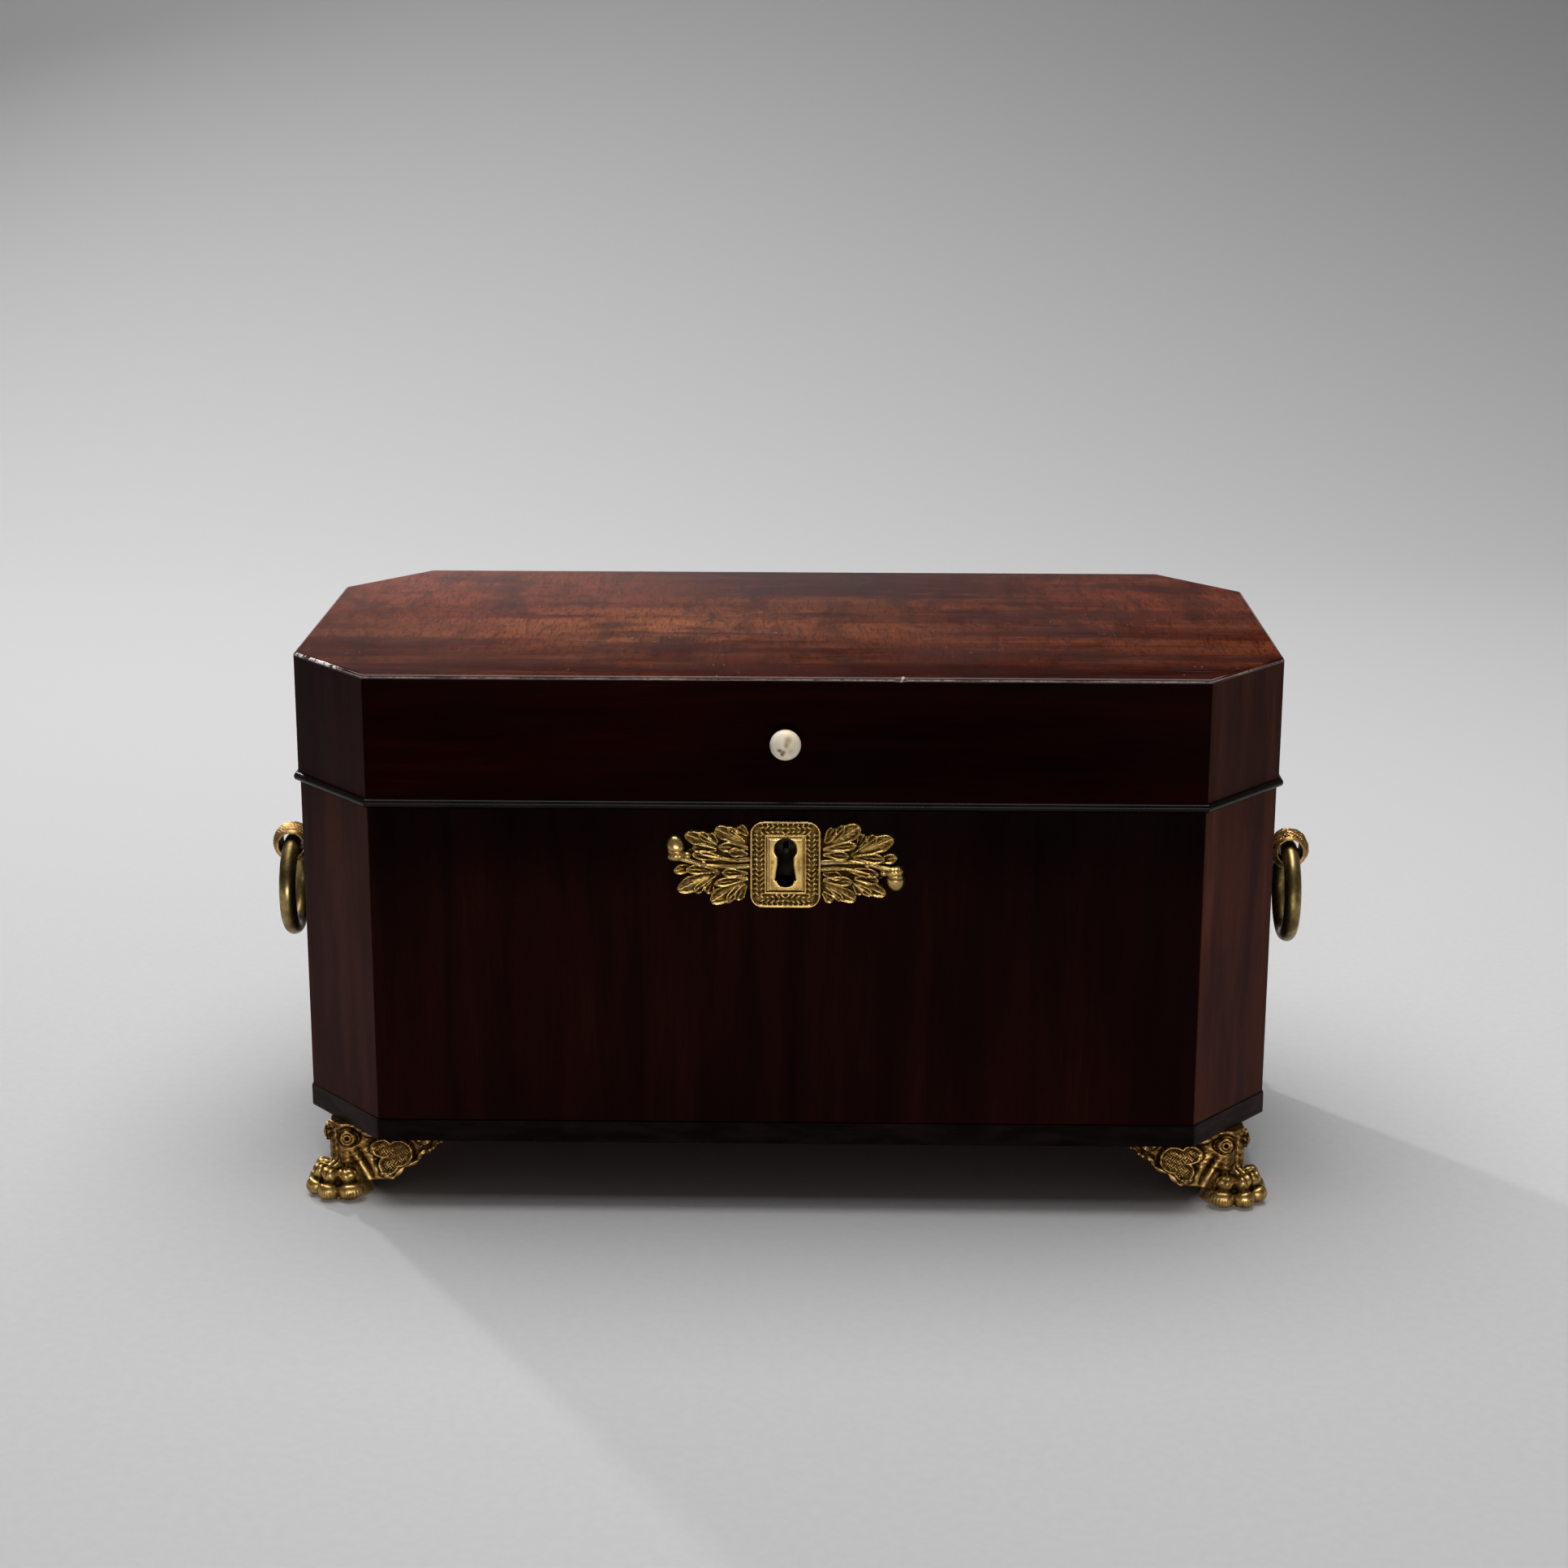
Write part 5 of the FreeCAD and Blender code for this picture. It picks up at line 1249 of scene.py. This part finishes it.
def chase_ball(mesh, middle, beaded):
    """Ornament on a handle's pierced ball: punched beads, or scrolling petals, between plain rims.

    Returns which vertices lie inside the ball's hole.
    """
    points, normals = points_and_normals(mesh)
    local = (points - np.array(middle)) / MM
    along = local[:, 1]
    radius = np.linalg.norm(local, axis=1)
    bearing = np.arctan2(local[:, 2], local[:, 0])
    on_ball = (radius > BALL_RADIUS + BALL_SKIN[0]) & (radius < BALL_RADIUS + BALL_SKIN[1])
    if beaded:
        row = along / BALL_BEAD_PITCH
        shift = np.where(np.round(row) % 2 == 0, 0.0, math.pi)
        rows = np.clip(np.cos(2 * math.pi * row), -0.4, 1)
        height = 0.22 * rows * np.clip(np.cos(bearing * BALL_BEADS_ROUND + shift), -0.4, 1)
    else:
        petals = np.cos(bearing * BALL_PETALS + np.sin(along * 1.1) * 2.2)
        veins = np.cos(bearing * BALL_VEINS) * np.cos(along * 5)
        height = 0.24 * petals * np.cos(along * 1.7) + 0.08 * veins
    height = np.where(np.abs(along) > BALL_RIM, BALL_RIM_HEIGHT, height)
    lift = np.where(on_ball, height, 0) * MM
    moved = points + normals * lift[:, None]
    moved[:, 0] = np.clip(moved[:, 0], cad_box[0].x, cad_box[1].x)
    mesh.vertices.foreach_set("co", moved.ravel())
    return radius < BALL_RADIUS + BALL_HOLE


def make_bosses(gilt):
    """The bosses of both ring handles."""
    for side in ("left", "right"):
        replaced = side + "_handle_boss"
        boss = welded_copy(side + "_boss_casting", replaced)
        recast(boss, BOSS_GRAIN, 2)
        low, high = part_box(replaced)
        end = high.x - BALL_RADIUS * MM if side == "right" else low.x + BALL_RADIUS * MM
        inside = chase_ball(boss.data, (end, 0, (low.z + high.z) / 2), side == "left")
        # The inside of the ball's hole is made darkest
        mark_hollows(boss.data, 8, BOSS_HOLLOW, inside)
        bpy.ops.object.shade_smooth()
        stand_in(boss, replaced, gilt)


def make_knob(bone):
    """The lid's knob: a domed head on a slender neck, turned in one."""
    bpy.ops.object.select_all(action="DESELECT")
    rim = KNOB_LOW.y + KNOB_DOME
    bpy.ops.mesh.primitive_cylinder_add(
        vertices=64,
        radius=KNOB_NECK,
        depth=NECK_END - rim,
        location=(0, (rim + NECK_END) / 2, KNOB_FACE.z),
        rotation=(math.pi / 2, 0, 0),
    )
    neck = bpy.context.object
    bpy.ops.mesh.primitive_uv_sphere_add(
        segments=96,
        ring_count=64,
        radius=1,
        location=(0, rim, KNOB_FACE.z),
        scale=(KNOB_RADIUS, KNOB_DOME, KNOB_RADIUS),
    )
    knob = bpy.context.object
    knob.name = "lid_knob_turned"
    neck.select_set(True)
    bpy.ops.object.transform_apply(location=True, rotation=True, scale=True)
    bpy.ops.object.join()
    recast(knob, KNOB_GRAIN, 6)
    bpy.ops.object.shade_smooth()
    stand_in(knob, "lid_knob", bone)


# Eased woodwork

LONG_EDGE = 8 * MM
SHARP = math.radians(25)
NARROW = 0.85
LID_EASING = 0.2 * MM
BOX_EASING = 0.25 * MM
STRIP_EASING = 0.4 * MM
ON_FACE = -0.05 * MM
BELOW_VENEER = LID_LOW.z - 0.1 * MM


def outer_faces(front, end):
    """Distance of a point outside the eight faces that a front and an end piece bound."""
    front_low, front_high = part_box(front)
    end_low, end_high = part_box(end)
    start = Vector((front_high.x, -front_low.y))
    stop = Vector((-end_low.x, end_high.y))
    cant = Vector((start.y - stop.y, stop.x - start.x)).normalized()

    def outside(point):
        """Distance of one point, by its place in plan."""
        across = Vector((abs(point.x), abs(point.y)))
        return max(across.x - stop.x, across.y - start.y, cant.dot(across - start))

    return outside


def is_narrow(face, width):
    """Whether a face is a strip of a rounded edge."""
    return face.calc_area() < NARROW * width * max(edge.calc_length() for edge in face.edges)


def ease_edges(name, material, width, wanted):
    """Replaces a wooden node by a copy with long edges rounded where wanted and marked as seams."""
    piece = welded_copy(name + "_eased", name)
    bpy.ops.object.mode_set(mode="EDIT")
    bpy.ops.mesh.select_all(action="SELECT")
    bpy.ops.mesh.dissolve_limited(angle_limit=math.radians(1))
    bpy.ops.mesh.select_all(action="DESELECT")
    bm = bmesh.from_edit_mesh(piece.data)
    for edge in bm.edges:
        sharp = len(edge.link_faces) == 2 and edge.calc_face_angle() > SHARP
        middle = (edge.verts[0].co + edge.verts[1].co) / 2
        if sharp and edge.calc_length() > LONG_EDGE and wanted(middle):
            edge.select_set(True)
    bmesh.update_edit_mesh(piece.data)
    if width > 0:
        bpy.ops.mesh.bevel(offset=width, segments=2, affect="EDGES", clamp_overlap=False)
    bm = bmesh.from_edit_mesh(piece.data)
    marked = bm.verts.layers.float.new("seam")
    for vert in bm.verts:
        vert[marked] = float(all(is_narrow(face, width) for face in vert.link_faces))
    bmesh.update_edit_mesh(piece.data)
    bpy.ops.object.mode_set(mode="OBJECT")
    bpy.ops.object.shade_smooth_by_angle(angle=math.radians(35))
    level = piece.modifiers.new("level", "WEIGHTED_NORMAL")
    level.weight = 100
    level.keep_sharp = True
    bpy.ops.object.modifier_apply(modifier=level.name)
    stand_in(piece, name, material)


def ease_woodwork(finishes):
    """Rounds the edges of the lid and the box that hands and dusters reach."""
    outside_lid = outer_faces("lid_front", "lid_left")
    outside_box = outer_faces("body_front", "body_left")
    ease_edges("lid_top_veneer", finishes["top"], 0.0, lambda spot: False)
    for side in SIDES + CANTS:
        lid_side, box_side = "lid_" + side, "body_" + side
        ease_edges(
            lid_side,
            finishes[finish_of(lid_side, "mahogany")],
            LID_EASING,
            lambda spot: outside_lid(spot) > ON_FACE and spot.z < BELOW_VENEER,
        )
        ease_edges(
            box_side,
            finishes[finish_of(box_side, "mahogany")],
            BOX_EASING,
            lambda spot: outside_box(spot) > ON_FACE,
        )
    ease_edges("base_strips", finishes["ebonised_wood"], STRIP_EASING, lambda spot: True)


# Stage, light and camera

# Paper on the left and on the right, all in painted light and shade: round the object, behind it, higher up,
# and lit from behind
PAPER_NEAR = (0.53, 0.525, 0.53), (0.60, 0.595, 0.60)
PAPER_FAR = (0.54, 0.535, 0.54), (0.53, 0.525, 0.53)
PAPER_UPPER = (0.54, 0.535, 0.54), (0.44, 0.435, 0.44)
PAPER_LIT = (0.95, 0.94, 0.95), (0.74, 0.73, 0.74)
PAPER_GRAIN = (0.2, 0.2, 0.2)
# Painted shade where the backdrop darkens at its top
PAPER_DARK_END = (0.02, 0.02, 0.021)


def sweep_paper():
    """Pale paper with painted light and shade: lighter to the right across the table, painted falloff up the
    backdrop, a painted lit band and painted shade at its top.
    """
    material, tree, shader = finish("paper")
    height = coordinate(tree, "Z")
    right = span(tree, coordinate(tree, "X"), -0.6, 1.0)
    grain = noise(tree, place(tree), 300, 3, 0.5)
    near = stained(tree, blend(tree, right, *PAPER_NEAR), PAPER_GRAIN, grain, 0.3, 0.7, 0.05)
    upper = blend(tree, right, *PAPER_UPPER)
    behind = stained(tree, blend(tree, right, *PAPER_FAR), upper, height, 0.04, 0.48)
    colour = stained(tree, near, behind, coordinate(tree, "Y"), 0.0, 0.7)
    # Painted light: a lit band up the backdrop
    colour = stained(tree, colour, blend(tree, right, *PAPER_LIT), height, 0.40, 0.50)
    lifted = math_node(tree, "ADD", height, times(tree, right, 0.12))
    # Painted shade: the backdrop darkens towards its top
    colour = stained(tree, colour, PAPER_DARK_END, lifted, 0.56, 0.74)
    set_shader(tree, shader, Base_Color=colour, Roughness=0.9, Specular_IOR_Level=0.1)
    return material


def make_stage():
    """A table of pale paper that sweeps up into the backdrop and hangs over its front edge."""
    bpy.ops.mesh.primitive_plane_add(size=2, location=(0, 0, 0))
    sweep = bpy.context.object
    sweep.name = "sweep"
    hanging = [(TABLE_FRONT - 0.03, -0.6), (TABLE_FRONT - 0.02, -0.02)]
    profile = hanging + [(TABLE_FRONT, 0.0), (BEND_START, 0.0)]
    for step in range(1, BEND_STEPS + 1):
        angle = math.pi / 2 * step / BEND_STEPS
        profile.append((BEND_START + BEND * math.sin(angle), BEND * (1 - math.cos(angle))))
    profile.append((BEND_START + BEND, BEND + 1.5))
    points = []
    for y, z in profile:
        points += [(-STAGE_HALF, y, z), (STAGE_HALF, y, z)]
    faces = [(2 * i, 2 * i + 1, 2 * i + 3, 2 * i + 2) for i in range(len(profile) - 1)]
    sweep.data.clear_geometry()
    sweep.data.from_pydata(points, [], faces)
    bpy.ops.object.shade_smooth()
    dress(sweep, sweep_paper())


def softbox(name, place_at, aim, width, height, power, spread=180):
    """An area light aimed at a point."""
    data = bpy.data.lights.new(name, "AREA")
    data.shape = "RECTANGLE"
    data.size = width
    data.size_y = height
    data.energy = power
    data.spread = math.radians(spread)
    lamp = bpy.data.objects.new(name, data)
    lamp.location = place_at
    lamp.rotation_euler = (Vector(aim) - Vector(place_at)).to_track_quat("-Z", "Y").to_euler()
    bpy.context.scene.collection.objects.link(lamp)


def make_light():
    """A broad softbox overhead, a small key behind on the left, a low fill in front and a backdrop lamp."""
    softbox("overhead", (-0.05, 0.15, 1.5), (-0.05, 0.15, 0.0), 1.3, 1.3, 26)
    softbox("key", (-1.2, 1.72, 1.42), (0, 0, 0.09), 0.09, 0.09, 11, 120)
    softbox("fill", (0.15, -1.5, 0.03), (0, 0, 0.12), 1.1, 0.08, 7.0)
    softbox("backdrop", (-0.4, 1.5, 1.5), (-0.3, 1.9, 0.2), 1.2, 0.5, 1.6, 120)


ROOM_GREY = 0.14


def make_room():
    """A dim room that grows lighter upwards, and that looks an even grey itself."""
    world = bpy.data.worlds.new("room")
    bpy.context.scene.world = world
    world.use_nodes = True
    tree = world.node_tree
    direction = node(tree, "ShaderNodeTexCoord").outputs["Generated"]
    height = node(tree, "ShaderNodeSeparateXYZ", {"Vector": direction}).outputs["Z"]
    rays = node(tree, "ShaderNodeLightPath").outputs
    seen = math_node(tree, "MAXIMUM", rays["Is Camera Ray"], rays["Is Glossy Ray"])
    seen = math_node(tree, "MAXIMUM", seen, rays["Is Transmission Ray"])
    lit = span(tree, height, -0.1, 0.5, 0.02, 0.10)
    strength = math_node(tree, "MAXIMUM", lit, times(tree, seen, ROOM_GREY))
    set_shader(tree, tree.nodes["Background"], Color=(1, 1, 1, 1), Strength=strength)


def make_camera():
    """The photograph's camera."""
    data = bpy.data.cameras.new("camera")
    data.lens = LENS
    data.sensor_width = SENSOR
    data.clip_start = 0.01
    camera = bpy.data.objects.new("camera", data)
    turn = (
        Matrix.Rotation(CAMERA_LEFT, 4, "Z")
        @ Matrix.Rotation(math.pi / 2 - CAMERA_DOWN, 4, "X")
        @ Matrix.Rotation(CAMERA_ROLL, 4, "Z")
    )
    camera.matrix_world = Matrix.Translation(CAMERA_PLACE) @ turn
    bpy.context.scene.collection.objects.link(camera)
    bpy.context.scene.camera = camera


def dress_nodes(finishes):
    """Gives every CAD node its finish."""
    for name, piece in nodes.items():
        dress(piece, finishes[finish_of(name, slot_of[name])])


bpy.context.scene.view_settings.view_transform = "Standard"
finishes = make_finishes()
dress_nodes(finishes)
make_escutcheon(finishes["gilt_brass"])
make_feet(finishes["foot"])
make_bosses(finishes["boss"])
make_knob(finishes["bone"])
ease_woodwork(finishes)
make_stage()
make_light()
make_room()
make_camera()
